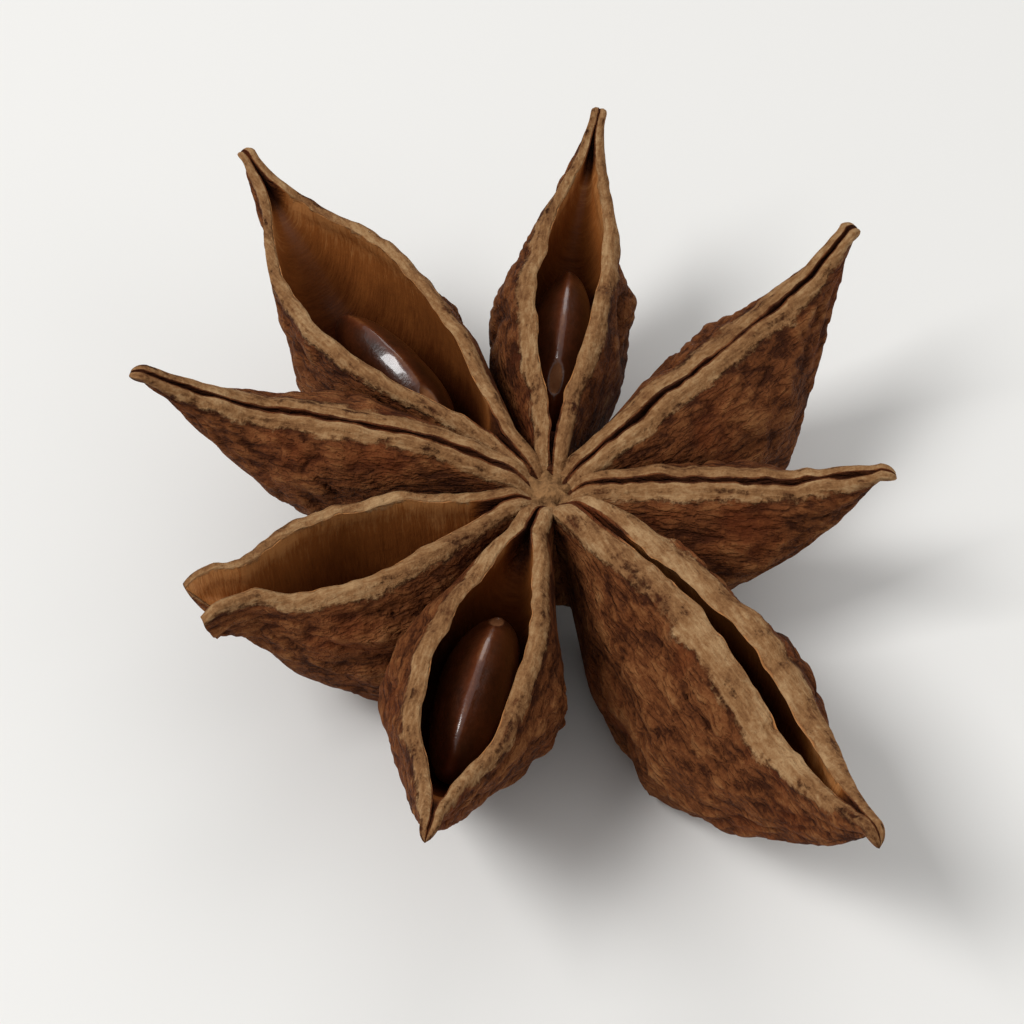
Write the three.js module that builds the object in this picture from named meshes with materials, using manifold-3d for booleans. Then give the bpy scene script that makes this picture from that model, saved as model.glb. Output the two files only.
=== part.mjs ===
// A dried star anise fruit: eight boat-shaped woody follicles that radiate from a short column, with a
// stub of the stalk below. It lies on its keels with the seams up. Some follicles have split along the
// seam and show their seed, one has split and lost it, and the others are shut.
//
// Millimetres, +Z up. The origin is under the middle of the bounding box, on the surface that the fruit
// rests on. The column stands at AXIS, a little off it, because the follicles differ in length.
//
// Each follicle is lofted from sections across its length. u is the place along it, 0 at the column's
// axis and 1 at the beak's tip. A section is a closed ring: the outer wall from the right lip down round
// the keel and up to the left lip, then the hollow from the left lip down and back up to the right one.

import * as THREE from "three";
import { mergeVertices } from "three/addons/utils/BufferGeometryUtils.js";
import Module from "manifold-3d";

const wasm = await Module();
wasm.setup();

// Where the column stands, off the middle of the bounding box.
const AXIS = { x: 1.125, y: -0.013 };

// The follicles, anticlockwise from above. angle is in degrees from +X. length runs from the axis to the
// tip. half is half the greatest width, and depth the greatest depth. gape is half the widest opening
// between the lips. rise is how far the seam climbs to the widest part, and hook how far the beak turns
// up. bow is how far the middle bends to the left of the straight line outwards, and lean how much the
// seam leans over to the left of the keel, as a slope.
const FOLLICLES = [
  { angle: 42, length: 12.8, half: 2.2, depth: 6.5, gape: 0, rise: 0.95, hook: 1.1, bow: -0.25, lean: 0.14 },
  { angle: 84, length: 13.6, half: 2.4, depth: 6.1, gape: 0.85, rise: 1.0, hook: 1.5, bow: 0.25, lean: -0.1 },
  { angle: 128, length: 15.2, half: 2.85, depth: 6.75, gape: 1.65, rise: 1.15, hook: 1.2, bow: 0.35, lean: 0.1 },
  { angle: 168, length: 12.0, half: 2.0, depth: 5.9, gape: 0, rise: 1.4, hook: 1.6, bow: -0.4, lean: 0.2 },
  { angle: 206, length: 11.2, half: 2.35, depth: 6.4, gape: 1.1, rise: 0.75, hook: 0.6, bow: 0.2, lean: -0.14 },
  { angle: 255, length: 13.4, half: 2.6, depth: 6.3, gape: 1.1, rise: 1.1, hook: 1.3, bow: -0.3, lean: 0.12 },
  { angle: 299, length: 15.7, half: 2.35, depth: 6.8, gape: 0.3, rise: 1.2, hook: 1.7, bow: 1.0, lean: 0.16 },
  { angle: 356, length: 9.6, half: 1.75, depth: 4.6, gape: 0, rise: 0.5, hook: 0.9, bow: 0.15, lean: 0.12 },
];
const OPEN_END_ANGLE = 206; // the follicle that is split right through its beak
const SEED_ANGLES = [84, 128, 255]; // the follicles that show their seed

const SEAM_HEIGHT = 5.35; // at the column
const WIDEST = 0.56; // u of the greatest width
const DEEPEST = 0.42; // u of the greatest depth
const BEAK = { share: 0.08, point: 0.5 }; // width and depth left at the tip, and the length of its point
const OPEN_BEAK = { share: 0.22, point: 0.1, gape: 0.5 }; // the same at an open end, and half its opening
const FIRST_U = 0.05; // where a follicle starts, inside the column

// The walls of the hollow.
const LIP = 0.45;
const TIP_LIP = 0.25; // a lip's thickness at the beak's tip
const WALL = 0.62;
const KEEL_WALL = 0.8;
const SHUT_GAP = 0.07; // half the slit between shut lips
const SLIT_DEPTH = 0.55;
const SLIT_SHARE = 0.6; // the deepest slit, as a share of the local depth
const HOLLOW = { from: 0.15, open: 0.36, closing: 0.76, to: 0.95 };

// Neighbours press against each other near the column, and fuse by this much.
const FUSED = 0.14;

// The shrivelled skin: how far it stands out or in, and how long and wide its folds are.
const FOLD_HEIGHT = 0.2;
const FOLD_LENGTH = 3.2;
const FOLD_WIDTH = 1.5;
const LIP_WAVE = 0.11;
const LIP_WAVE_LENGTH = 1.4;

const COLUMN = { radius: 1.05, top: 5.3, bottom: 1.6 };
const RECEPTACLE = { radius: 2.3, top: 3.2, bottom: 1.75 };
const STALK = { radius: 0.72, scarRadius: 0.95, end: 0.5, lean: 0.5 };

// A seed is a flattened bean that stands on its edge on the hollow's floor. at is the u of its middle,
// and rise is how much higher its outer end lies.
const SEED = { length: 5.8, height: 3.9, thickness: 2.25, at: 0.51, rise: 0.75, blunt: 0.3 };
const SEED_GAP = 0.34; // to the hollow's floor

const STATIONS = 24; // along a follicle
const WALL_STEPS = 8; // from a lip to the keel
const HOLLOW_STEPS = 4; // from a lip to the hollow's floor

const clamp01 = (x) => Math.min(1, Math.max(0, x));
const smooth = (x) => clamp01(x) ** 2 * (3 - 2 * clamp01(x));
const mix = (a, b, t) => a + (b - a) * t;
const radians = (degrees) => (degrees * Math.PI) / 180;

// A repeatable number from -1 to 1 for each point of a grid.
function lattice(i, j, seed) {
  const v = Math.sin(i * 12.9898 + j * 78.233 + seed * 37.719) * 43758.5453;
  return 2 * (v - Math.floor(v)) - 1;
}

// Smooth noise from -1 to 1.
function noise(x, y, seed) {
  const i = Math.floor(x);
  const j = Math.floor(y);
  const s = smooth(x - i);
  const t = smooth(y - j);
  const near = mix(lattice(i, j, seed), lattice(i + 1, j, seed), s);
  const far = mix(lattice(i, j + 1, seed), lattice(i + 1, j + 1, seed), s);
  return mix(near, far, t);
}

const isOpenEnd = (f) => f.angle === OPEN_END_ANGLE;
const beakOf = (f) => (isOpenEnd(f) ? OPEN_BEAK : BEAK);

// How the outer width runs along a follicle: full at WIDEST, then an ogee down to the beak.
function widthShare(u) {
  const out = clamp01((u - WIDEST) / (1 - WIDEST));
  const round = 1 - out ** 2;
  const ogee = 1 - smooth((u - WIDEST + 0.04) / 0.4);
  const inner = mix(0.62, 1, smooth(u / WIDEST));
  return mix(BEAK.share, 1, u < WIDEST ? inner : mix(round, ogee, 0.5));
}

// The depth along a follicle: shallow at the column, deepest at DEEPEST, then less up to the beak.
function depthAt(f, u) {
  if (u < DEEPEST) return f.depth * (1 - 0.42 * ((DEEPEST - u) / DEEPEST) ** 1.8);
  const out = (u - DEEPEST) / (1 - DEEPEST);
  const round = Math.max(0, 1 - out ** 2) ** 0.8;
  const ogee = 1 - smooth((u - DEEPEST + 0.02) / 0.56);
  return f.depth * mix(beakOf(f).share, 1, mix(round, ogee, 0.4));
}

// How far the hollow has opened: 0 where the follicle is solid, 1 where the hollow is full.
function hollowShare(f, u) {
  if (f.gape === 0) return 0;
  const opened = smooth((u - HOLLOW.from) / (HOLLOW.open - HOLLOW.from));
  const closed = isOpenEnd(f) ? 0 : smooth((u - HOLLOW.closing) / (HOLLOW.to - HOLLOW.closing));
  return opened * (1 - closed);
}

// Half the opening between the lips.
function gapeAt(f, u) {
  const along = clamp01((u - HOLLOW.from) / (HOLLOW.to - HOLLOW.from));
  const lens = Math.sin(Math.PI * along ** 1.15) ** 0.85;
  const end = isOpenEnd(f) ? OPEN_BEAK.gape * smooth((u - WIDEST) / (1 - WIDEST)) : 0;
  return SHUT_GAP + Math.max(f.gape * lens, end);
}

// How thick a lip is, seen from above.
const lipAt = (u) => mix(LIP, TIP_LIP, smooth((u - 0.75) / 0.25));

// The seam's height: it rises from the column, waves a little, and turns up at the beak.
function seamHeight(f, u) {
  const rise = f.rise * Math.sin(clamp01(u / 0.6) * (Math.PI / 2));
  const beak = f.hook * clamp01((u - 0.7) / 0.3) ** 1.8;
  const wave = LIP_WAVE * noise((u * f.length) / LIP_WAVE_LENGTH, 0.5, f.angle) * smooth(u / 0.15);
  return SEAM_HEIGHT + rise + beak + wave;
}

// Half the outer width: the follicle's own, no more than the room between its neighbours.
function halfWidthAt(f, u, room) {
  const own = f.half * widthShare(u);
  const limit = u * f.length * Math.tan(room) + FUSED;
  const least = gapeAt(f, u) + lipAt(u);
  return Math.max(Math.min(own, limit), least);
}

// The skin's folds, which die away at the lips.
function foldAt(f, u, side, share) {
  const along = (u * f.length) / FOLD_LENGTH;
  const across = (share * f.depth) / FOLD_WIDTH + along * 0.5;
  const ridge = 1 - 2 * Math.abs(noise(along, across, f.angle + side));
  return FOLD_HEIGHT * ridge * smooth((1 - share) / 0.2) * smooth(u / 0.2) * widthShare(u);
}

// One point of the outer wall. side is -1 or 1, and share runs from 0 at the keel to 1 at the lip.
function wallPoint(f, u, side, share, room) {
  const width = halfWidthAt(f, u, room);
  const lipEdge = Math.min(width, gapeAt(f, u) + lipAt(u));
  const depth = depthAt(f, u);
  const end = Math.PI - Math.asin(Math.min(1, lipEdge / width));
  const angle = end * share;
  const taper = (1 - 0.16 * Math.cos(angle)) / (1 - 0.16 * Math.cos(end));
  const bulge = mix(1 - 0.16 * Math.cos(angle), taper, smooth(share));
  const fold = foldAt(f, u, side, share);
  const y = width * Math.sin(angle) * bulge + fold * Math.sin(angle);
  const rise = (1 - Math.cos(angle)) / (1 - Math.cos(end));
  return [side * y, seamHeight(f, u) - depth * (1 - rise) - fold * Math.cos(angle)];
}

// One point of the hollow. share runs from 0 at the lip to 1 at the floor.
function hollowPoint(f, u, side, share, room) {
  const gape = gapeAt(f, u);
  const open = hollowShare(f, u);
  const spare = Math.max(0, halfWidthAt(f, u, room) - WALL - gape) * open;
  const slit = Math.min(SLIT_DEPTH, SLIT_SHARE * depthAt(f, u));
  const depth = mix(slit, Math.max(slit, depthAt(f, u) - KEEL_WALL), open);
  const turn = (share * Math.PI) / 2;
  const y = gape * Math.cos(turn) ** 0.6 + spare * Math.sin(2 * turn) ** 0.9;
  return [side * Math.max(0, y), seamHeight(f, u) - depth * Math.sin(turn) ** 1.2];
}

// The closed ring of one section, each point across the follicle and up.
function sectionRing(f, u, rooms) {
  const ring = [];
  for (let i = WALL_STEPS; i > 0; i--) ring.push(wallPoint(f, u, -1, i / WALL_STEPS, rooms.right));
  for (let i = 0; i <= WALL_STEPS; i++) ring.push(wallPoint(f, u, 1, i / WALL_STEPS, rooms.left));
  const steps = f.gape > 0 ? HOLLOW_STEPS : 1;
  for (let i = 0; i < steps; i++) ring.push(hollowPoint(f, u, 1, i / steps, rooms.left));
  for (let i = steps; i >= 0; i--) ring.push(hollowPoint(f, u, -1, i / steps, rooms.right));
  return ring;
}

// A point of a follicle, along it from the axis, across it and up, with its bow and lean.
function local(f, u, across, up) {
  const bow = 4 * f.bow * u * (1 - u);
  const lean = f.lean * (up - SEAM_HEIGHT) * smooth(u / 0.4);
  return [u * f.length, across + bow + lean, up];
}

// Turns points along, across and up a follicle into the part's frame.
function place(f, points) {
  const angle = radians(f.angle);
  return points.map(([along, across, up]) => [
    AXIS.x + along * Math.cos(angle) - across * Math.sin(angle),
    AXIS.y + along * Math.sin(angle) + across * Math.cos(angle),
    up,
  ]);
}

// The triangles between rings of equal length, which turn anticlockwise seen from the last one.
function sideTriangles(ringCount, n) {
  const triangles = [];
  for (let s = 0; s + 1 < ringCount; s++)
    for (let i = 0; i < n; i++) {
      const a = s * n + i;
      const b = s * n + ((i + 1) % n);
      triangles.push([a, b, b + n], [a, b + n, a + n]);
    }
  return triangles;
}

// The triangles from a ring of n points, which starts at first in the list, to the point at the middle
// of its end. facesBack is true at the first ring.
function fanTriangles(n, first, middle, facesBack) {
  const ends = Array.from({ length: n }, (_, i) => [first + i, first + ((i + 1) % n)]);
  return ends.map(([a, b]) => (facesBack ? [middle, b, a] : [middle, a, b]));
}

function solid(points, triangles) {
  const vertProperties = new Float32Array(points.flat());
  const triVerts = new Uint32Array(triangles.flat());
  return new wasm.Manifold(new wasm.Mesh({ numProp: 3, vertProperties, triVerts }));
}

// A three.js geometry as a solid.
function solidOf(geometry) {
  const bare = new THREE.BufferGeometry();
  bare.setAttribute("position", geometry.getAttribute("position"));
  if (geometry.index) bare.setIndex(geometry.index);
  const merged = mergeVertices(bare, 1e-4);
  const vertProperties = merged.attributes.position.array;
  const triVerts = new Uint32Array(merged.index.array);
  return new wasm.Manifold(new wasm.Mesh({ numProp: 3, vertProperties, triVerts }));
}

function geometryOf(made) {
  const mesh = made.getMesh();
  const geometry = new THREE.BufferGeometry();
  geometry.setAttribute("position", new THREE.BufferAttribute(mesh.vertProperties, 3));
  geometry.setIndex(new THREE.BufferAttribute(mesh.triVerts, 1));
  geometry.computeVertexNormals();
  return geometry;
}

// Half the angle to the neighbour on each side.
function roomsOf(i) {
  const count = FOLLICLES.length;
  const here = FOLLICLES[i].angle;
  const next = FOLLICLES[(i + 1) % count].angle;
  const last = FOLLICLES[(i + count - 1) % count].angle;
  const between = (a, b) => radians((((b - a) % 360) + 360) % 360) / 2;
  return { left: between(here, next), right: between(last, here) };
}

function follicle(f, i) {
  const rooms = roomsOf(i);
  const rings = [];
  for (let s = 0; s <= STATIONS; s++) {
    const u = mix(FIRST_U, 1, s / STATIONS);
    rings.push(sectionRing(f, u, rooms).map(([across, up]) => local(f, u, across, up)));
  }
  const n = rings[0].length;
  const points = [...rings.flat(), endPoint(f, FIRST_U, 0), endPoint(f, 1, beakOf(f).point)];
  const triangles = [
    ...sideTriangles(rings.length, n),
    ...fanTriangles(n, 0, points.length - 2, true),
    ...fanTriangles(n, STATIONS * n, points.length - 1, false),
  ];
  return solid(place(f, points), triangles);
}

// The middle of an end section, below its slit, moved outwards by beyond.
function endPoint(f, u, beyond) {
  const down = 0.5 * (1 + SLIT_SHARE) * depthAt(f, u);
  const [along, across, up] = local(f, u, 0, seamHeight(f, u) - down);
  return [along + beyond, across, up];
}

// A turned solid about the column's axis, from [radius, height] points.
function turned(profile) {
  const points = profile.map(([radius, height]) => new THREE.Vector2(radius, height));
  const geometry = new THREE.LatheGeometry(points, 16);
  geometry.rotateX(Math.PI / 2);
  geometry.translate(AXIS.x, AXIS.y, 0);
  return solidOf(geometry);
}

function column() {
  const { radius, top, bottom } = COLUMN;
  return turned([
    [0, bottom],
    [radius * 1.3, bottom],
    [radius, top - 0.35],
    [radius * 0.55, top],
    [0, top + 0.1],
  ]);
}

function receptacle() {
  const { radius, top, bottom } = RECEPTACLE;
  return turned([
    [0, bottom - 0.25],
    [radius * 0.55, bottom - 0.25],
    [radius, bottom + 0.4],
    [radius * 0.8, top],
    [0, top],
  ]);
}

// The broken stalk, which leans and widens to its scar.
function stalk() {
  const { radius, scarRadius, end, lean } = STALK;
  const sides = 10;
  const levels = [
    [RECEPTACLE.bottom + 0.4, radius * 1.25, 0],
    [RECEPTACLE.bottom - 0.4, radius, lean * 0.35],
    [end + 0.3, radius * 1.05, lean * 0.8],
    [end, scarRadius, lean],
  ];
  const rings = levels.map(([height, r, shift]) =>
    Array.from({ length: sides }, (_, i) => {
      const a = (-2 * Math.PI * i) / sides;
      return [AXIS.x + shift + r * Math.cos(a), AXIS.y + shift * 0.4 + r * Math.sin(a), height];
    }),
  );
  const triangles = sideTriangles(rings.length, sides);
  const last = (rings.length - 1) * sides;
  for (let i = 1; i + 1 < sides; i++) triangles.push([0, i + 1, i], [last, last + i, last + i + 1]);
  return solid(rings.flat(), triangles);
}

// Everything under the surface that the fruit rests on, which its keels are worn flat against.
function ground() {
  const size = 60;
  return solidOf(new THREE.BoxGeometry(size, size, 10).translate(0, 0, -5));
}

// The largest outer skin: pockets sealed between neighbours are filled, and loose scraps dropped.
function outerSkin(made) {
  return made.decompose().reduce((largest, body) => (body.volume() > largest.volume() ? body : largest));
}

function husk() {
  const parts = [column(), receptacle(), stalk(), ...FOLLICLES.map(follicle)];
  const joined = parts.reduce((whole, piece) => whole.add(piece));
  return outerSkin(outerSkin(joined).subtract(ground()));
}

// The height of a seed's middle, which rests on the hollow's floor. x runs along it from -0.5 to 0.5.
function seedLift(f) {
  const stations = Array.from({ length: 9 }, (_, k) => (k - 4) / 10);
  const lifts = stations.map((x) => {
    const [, floor] = hollowPoint(f, SEED.at + (x * SEED.length) / f.length, 1, 1, Math.PI / 8);
    const halfHeight = (SEED.height / 2) * Math.sqrt(1 - 4 * x * x) * (1 - SEED.blunt * x);
    return floor + SEED_GAP + halfHeight - SEED.rise * x;
  });
  return Math.max(...lifts);
}

// A seed on its edge in a follicle's hollow, blunt at the end towards the column.
function seed(f) {
  const geometry = new THREE.SphereGeometry(0.5, 16, 10);
  geometry.rotateZ(Math.PI / 2);
  const position = geometry.getAttribute("position");
  const lift = seedLift(f);
  for (let i = 0; i < position.count; i++) {
    const x = position.getX(i);
    const u = SEED.at + (x * SEED.length) / f.length;
    const blunt = 1 - SEED.blunt * x;
    const across = position.getY(i) * SEED.thickness * blunt;
    const up = lift + SEED.rise * x + position.getZ(i) * SEED.height * blunt;
    position.setXYZ(i, ...place(f, [local(f, u, across, up)])[0]);
  }
  return solidOf(geometry);
}

const finishes = {
  husk: new THREE.MeshStandardMaterial({ color: 0x5c3a24, roughness: 0.85, metalness: 0, flatShading: true }),
  seed: new THREE.MeshStandardMaterial({ color: 0x4a2410, roughness: 0.25, metalness: 0 }),
};

function named(name, made, finish) {
  const mesh = new THREE.Mesh(geometryOf(made), finish);
  mesh.name = name;
  return mesh;
}

const pod = new THREE.Group();
pod.add(named("husk", husk(), finishes.husk));
const seeded = FOLLICLES.filter((f) => SEED_ANGLES.includes(f.angle));
seeded.forEach((f, i) => pod.add(named(`seed_${i + 1}`, seed(f), finishes.seed)));

export default pod;
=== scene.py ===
"""A dried star anise pod: its wrinkled woody husk and glossy seeds, on a pale floor in soft light.

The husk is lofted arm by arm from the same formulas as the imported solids, with finer sections, rounded
lips and shrivelled skin, and all its parts are joined into one closed mesh. Shapes are worked out in
millimetres and turned into metres when a mesh is made.
"""

import itertools
import logging
import math
from dataclasses import dataclass, replace
from enum import Enum
from typing import Any, Mapping, Optional, Sequence, Union

import bmesh
import bpy
import numpy as np
from mathutils import Euler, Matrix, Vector
from mathutils.kdtree import KDTree


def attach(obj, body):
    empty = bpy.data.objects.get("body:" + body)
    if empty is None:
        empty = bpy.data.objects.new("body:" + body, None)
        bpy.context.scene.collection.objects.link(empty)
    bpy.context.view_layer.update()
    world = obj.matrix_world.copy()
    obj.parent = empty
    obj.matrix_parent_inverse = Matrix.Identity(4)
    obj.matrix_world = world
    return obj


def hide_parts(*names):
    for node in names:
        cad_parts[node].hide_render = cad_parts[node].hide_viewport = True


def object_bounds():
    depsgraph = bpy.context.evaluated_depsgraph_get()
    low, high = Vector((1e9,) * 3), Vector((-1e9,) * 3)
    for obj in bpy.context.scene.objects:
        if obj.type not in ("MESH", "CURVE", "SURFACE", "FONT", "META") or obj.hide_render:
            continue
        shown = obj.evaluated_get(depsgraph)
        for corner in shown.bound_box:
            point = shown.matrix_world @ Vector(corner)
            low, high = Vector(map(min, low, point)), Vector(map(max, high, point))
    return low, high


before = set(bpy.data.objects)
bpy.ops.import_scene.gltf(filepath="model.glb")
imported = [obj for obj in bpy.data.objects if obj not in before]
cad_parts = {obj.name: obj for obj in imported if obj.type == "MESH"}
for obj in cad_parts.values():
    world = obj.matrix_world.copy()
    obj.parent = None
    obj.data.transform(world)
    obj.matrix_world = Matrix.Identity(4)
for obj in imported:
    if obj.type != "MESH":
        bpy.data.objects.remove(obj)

CAD_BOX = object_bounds()
BODY = "root"
MM = 0.001
LOG = logging.getLogger("star_anise")

Array = np.ndarray
Amount = Union[np.ndarray, float]
Pair = tuple[float, float]
Triple = tuple[float, float, float]
Colour = tuple[int, int, int]

# Where the column stands, off the middle of the bounding box, in millimetres.
AXIS = (1.125, -0.013)

# The attributes that the shaders read. rim falls from 1 on a lip to 0 at this distance from it.
RIM_REACH = 1.2
# The husk's shader paints shade from relief: darker in the skin's valleys, in the slits and deep in the
# lining.
RIM, INNER, RELIEF, CORE, GRAIN = "rim", "inner", "relief", "core", "grain"
SHADER_FIELDS = (RIM, INNER, RELIEF, CORE, GRAIN)
# made is 1 on the vertices that a skin has before the union, and skin is the number of their skin.
MADE, SKIN_NUMBER = "made", "skin"
MADE_LEAST = 0.99  # what made is over on a vertex that the union left as it was


# ---------------------------------------------------------------- numbers

# What turns a grid's whole numbers into scattered ones, and slope noise into a range of about -1 to 1.
SCATTER, SEED_SCATTER, SCATTER_SIZE = (12.9898, 78.233, 45.164), 37.719, 43758.5453
SLOPE_GAIN = 1.9


def smooth(x: Amount) -> Amount:
    """A smooth step from 0 to 1 over x from 0 to 1."""
    x = np.clip(x, 0.0, 1.0)
    return x * x * (3 - 2 * x)


def mix(a: Amount, b: Amount, t: Amount) -> Amount:
    """The value at share t of the way from a to b."""
    return a + (b - a) * t


def soft_least(a: Array, b: Array, softness: float) -> Array:
    """The lesser of two values, with the corner between them rounded off."""
    return 0.5 * (a + b - np.sqrt((a - b) ** 2 + softness**2))


@dataclass(frozen=True)
class Rise:
    """A climb from 0 to 1: where it starts, and how far it takes."""

    start: float
    span: float

    def even(self, x: Array) -> Array:
        """The climb at x, as a straight slope."""
        return np.clip((x - self.start) / self.span, 0, 1)

    def eased(self, x: Array) -> Array:
        """The climb at x, with rounded ends."""
        return smooth((x - self.start) / self.span)


def lattice(cells: Array, seed: float) -> Array:
    """Repeatable numbers from -1 to 1 at the points of a grid.

    Args:
        cells: whole-numbered coordinates, two or three in the last axis.
        seed: picks one of many such fields.

    Returns:
        One number for each point.
    """
    spread = np.array(SCATTER)[: cells.shape[-1]]
    v = np.sin(cells @ spread + seed * SEED_SCATTER) * SCATTER_SIZE
    return 2 * (v - np.floor(v)) - 1


def value_noise(points: Array, seed: float) -> Array:
    """Smooth noise from -1 to 1 that blends the numbers at a grid's corners.

    Args:
        points: coordinates in grid cells, two or three in the last axis.
        seed: picks one of many such fields.

    Returns:
        One number for each point.
    """
    base = np.floor(points)
    blend = smooth(points - base)
    total = np.zeros(points.shape[:-1])
    for corner in itertools.product((0, 1), repeat=points.shape[-1]):
        weight = np.prod(np.where(corner, blend, 1 - blend), axis=-1)
        total += weight * lattice(base + corner, seed)
    return total


def slope_noise(points: Array, seed: float) -> Array:
    """Smooth noise of about -1 to 1 that blends slopes, which has no blocks in it.

    Args:
        points: three coordinates in grid cells in the last axis.
        seed: picks one of many such fields.

    Returns:
        One number for each point.
    """
    base = np.floor(points)
    offset = points - base
    blend = smooth(offset)
    total = np.zeros(points.shape[:-1])
    for corner in itertools.product((0, 1), repeat=3):
        slope = np.stack([lattice(base + corner, seed + k) for k in range(3)], axis=-1)
        weight = np.prod(np.where(corner, blend, 1 - blend), axis=-1)
        total += weight * np.sum(slope * (offset - corner), axis=-1)
    return SLOPE_GAIN * total


@dataclass(frozen=True)
class Wrinkle:
    """One size of crease in the skin, in millimetres: round ridges and sharp, winding valleys."""

    height: float
    along: float
    across: float
    seed: float
    winding: float = 0.45
    winding_scale: float = 0.7

    def at(self, points: Array) -> Array:
        """How far the skin stands out.

        Args:
            points: places along, across and up.

        Returns:
            One number for each point.
        """
        scale = np.array([1 / self.along, 1 / self.across, 1 / self.across])
        warp = self.winding * slope_noise(points * self.winding_scale, self.seed + 11)
        field = slope_noise(points * scale + warp[..., None], self.seed)
        return self.height * (2 * np.sqrt(np.abs(field)) - 1)


@dataclass(frozen=True)
class Lumps:
    """Soft lumps: how far they stand out in millimetres, and how many fit in one along each axis."""

    height: float
    scale: Triple
    seed: float = 0.0

    def at(self, points: Array, shift: float = 0.0) -> Array:
        """How far the surface stands out at the points. shift is added to the seed."""
        return self.height * slope_noise(points * np.array(self.scale), self.seed + shift)


@dataclass(frozen=True)
class Ripple:
    """Bends along a lip: their reach and length in millimetres, and where their noise is read."""

    height: float
    length: float
    row: float
    seed: float

    def at(self, along: Array, angle: float, side: int = 1) -> Array:
        """How far a lip bends at distances from the axis, for an arm's direction and its side."""
        places = np.stack([along / self.length, np.full_like(along, self.row * side)], axis=-1)
        return self.height * value_noise(places, angle + self.seed)


# ---------------------------------------------------------------- meshes

SLIVER = 0.002 * MM  # edges shorter than this are closed up
REPAIRS = 6  # rounds of closing up or mending, at most


@dataclass
class Loft:
    """A closed skin through rings of points, with a point that closes each end.

    Attributes:
        rings: points in millimetres, as rings by points by three.
        ends: the two closing points.
        fields: the shader attributes, each with one value or vector a ring point.
    """

    rings: Array
    ends: Array
    fields: dict[str, Array]

    def faces(self) -> list[list[int]]:
        """The triangles between rings, cut along the shorter diagonals, and the fans at the ends.

        Returns:
            Each triangle's point numbers.
        """
        count, n = self.rings.shape[:2]
        number = np.arange(count * n).reshape(count, n)
        following = np.roll(number, -1, axis=1)
        a, b, c, d = number[:-1], following[:-1], following[1:], number[1:]
        turned = np.roll(self.rings, -1, axis=1)
        to_c = np.linalg.norm(self.rings[:-1] - turned[1:], axis=-1)
        to_d = np.linalg.norm(turned[:-1] - self.rings[1:], axis=-1)
        start, end = np.full(n, count * n), np.full(n, count * n + 1)
        patches = [
            (a, b, np.where(to_c <= to_d, c, d)),
            (np.where(to_c <= to_d, a, b), c, d),
            (start, following[0], number[0]),
            (end, number[-1], following[-1]),
        ]
        return np.concatenate([np.stack(patch, axis=-1).reshape(-1, 3) for patch in patches]).tolist()

    def mesh(self, name: str, number: int = 0) -> bpy.types.Mesh:
        """Makes the skin a mesh in metres, with its attributes.

        Args:
            name: the mesh's name.
            number: its number among the skins that are joined to it.

        Returns:
            The mesh.
        """
        points = np.concatenate([self.rings.reshape(-1, 3), self.ends]) * MM
        data = bpy.data.meshes.new(name)
        data.from_pydata(points.tolist(), [], self.faces())
        ones = np.ones(self.rings.shape[:2])
        for key, values in {**self.fields, MADE: ones, SKIN_NUMBER: number * ones}.items():
            rows = values.reshape(ones.size, -1)
            write_field(data, key, "POINT", np.concatenate([rows, rows[:1], rows[-1:]]))
        return data


def read_points(data: bpy.types.Mesh) -> Array:
    """The vertices of a mesh.

    Args:
        data: the mesh.

    Returns:
        Vertices by three, in metres.
    """
    points = np.zeros(len(data.vertices) * 3)
    data.vertices.foreach_get("co", points)
    return points.reshape(-1, 3)


def read_triangles(data: bpy.types.Mesh) -> Array:
    """The faces of a triangle mesh.

    Args:
        data: the mesh.

    Returns:
        Faces by three vertex numbers.
    """
    corners = np.zeros(len(data.loops), np.int64)
    data.loops.foreach_get("vertex_index", corners)
    return corners.reshape(-1, 3)


def write_field(data: bpy.types.Mesh, key: str, domain: str, values: Array) -> None:
    """Makes an attribute of numbers or vectors.

    Args:
        data: the mesh.
        key: the attribute's name.
        domain: what has one row of values each: POINT or CORNER.
        values: the rows, of one or three numbers.
    """
    kind, word = ("FLOAT_VECTOR", "vector") if values.shape[-1] == 3 else ("FLOAT", "value")
    attribute = data.attributes.new(key, kind, domain)
    attribute.data.foreach_set(word, values.astype(np.float32).ravel())


def read_field(data: bpy.types.Mesh, key: str) -> Array:
    """The values of an attribute.

    Args:
        data: the mesh.
        key: the attribute's name.

    Returns:
        Rows of one or three numbers.
    """
    attribute = data.attributes[key]
    word, width = ("vector", 3) if attribute.data_type == "FLOAT_VECTOR" else ("value", 1)
    values = np.zeros(len(attribute.data) * width, np.float32)
    attribute.data.foreach_get(word, values)
    return values.reshape(-1, width)


def placed(name: str, data: bpy.types.ID) -> bpy.types.Object:
    """Makes an object of a mesh, a lamp or a camera.

    Args:
        name: the object's name.
        data: what it shows.

    Returns:
        The object, linked to the scene.
    """
    thing = bpy.data.objects.new(name, data)
    bpy.context.scene.collection.objects.link(thing)
    return thing


def joined(skins: Sequence[bpy.types.Mesh]) -> bpy.types.Mesh:
    """Joins closed meshes into one.

    Args:
        skins: the meshes.

    Returns:
        Their union, as a new mesh.
    """
    first, *others = [placed(skin.name, skin) for skin in skins]
    group = bpy.data.collections.new("to_join")
    for other in others:
        group.objects.link(other)
    union = first.modifiers.new("union", "BOOLEAN")
    union.operation = "UNION"
    union.operand_type = "COLLECTION"
    union.collection = group
    union.solver = "MANIFOLD"
    graph = bpy.context.evaluated_depsgraph_get()
    data = bpy.data.meshes.new_from_object(first.evaluated_get(graph))
    for used in (first, *others):
        bpy.data.objects.remove(used)
    bpy.data.collections.remove(group)
    return data


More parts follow.
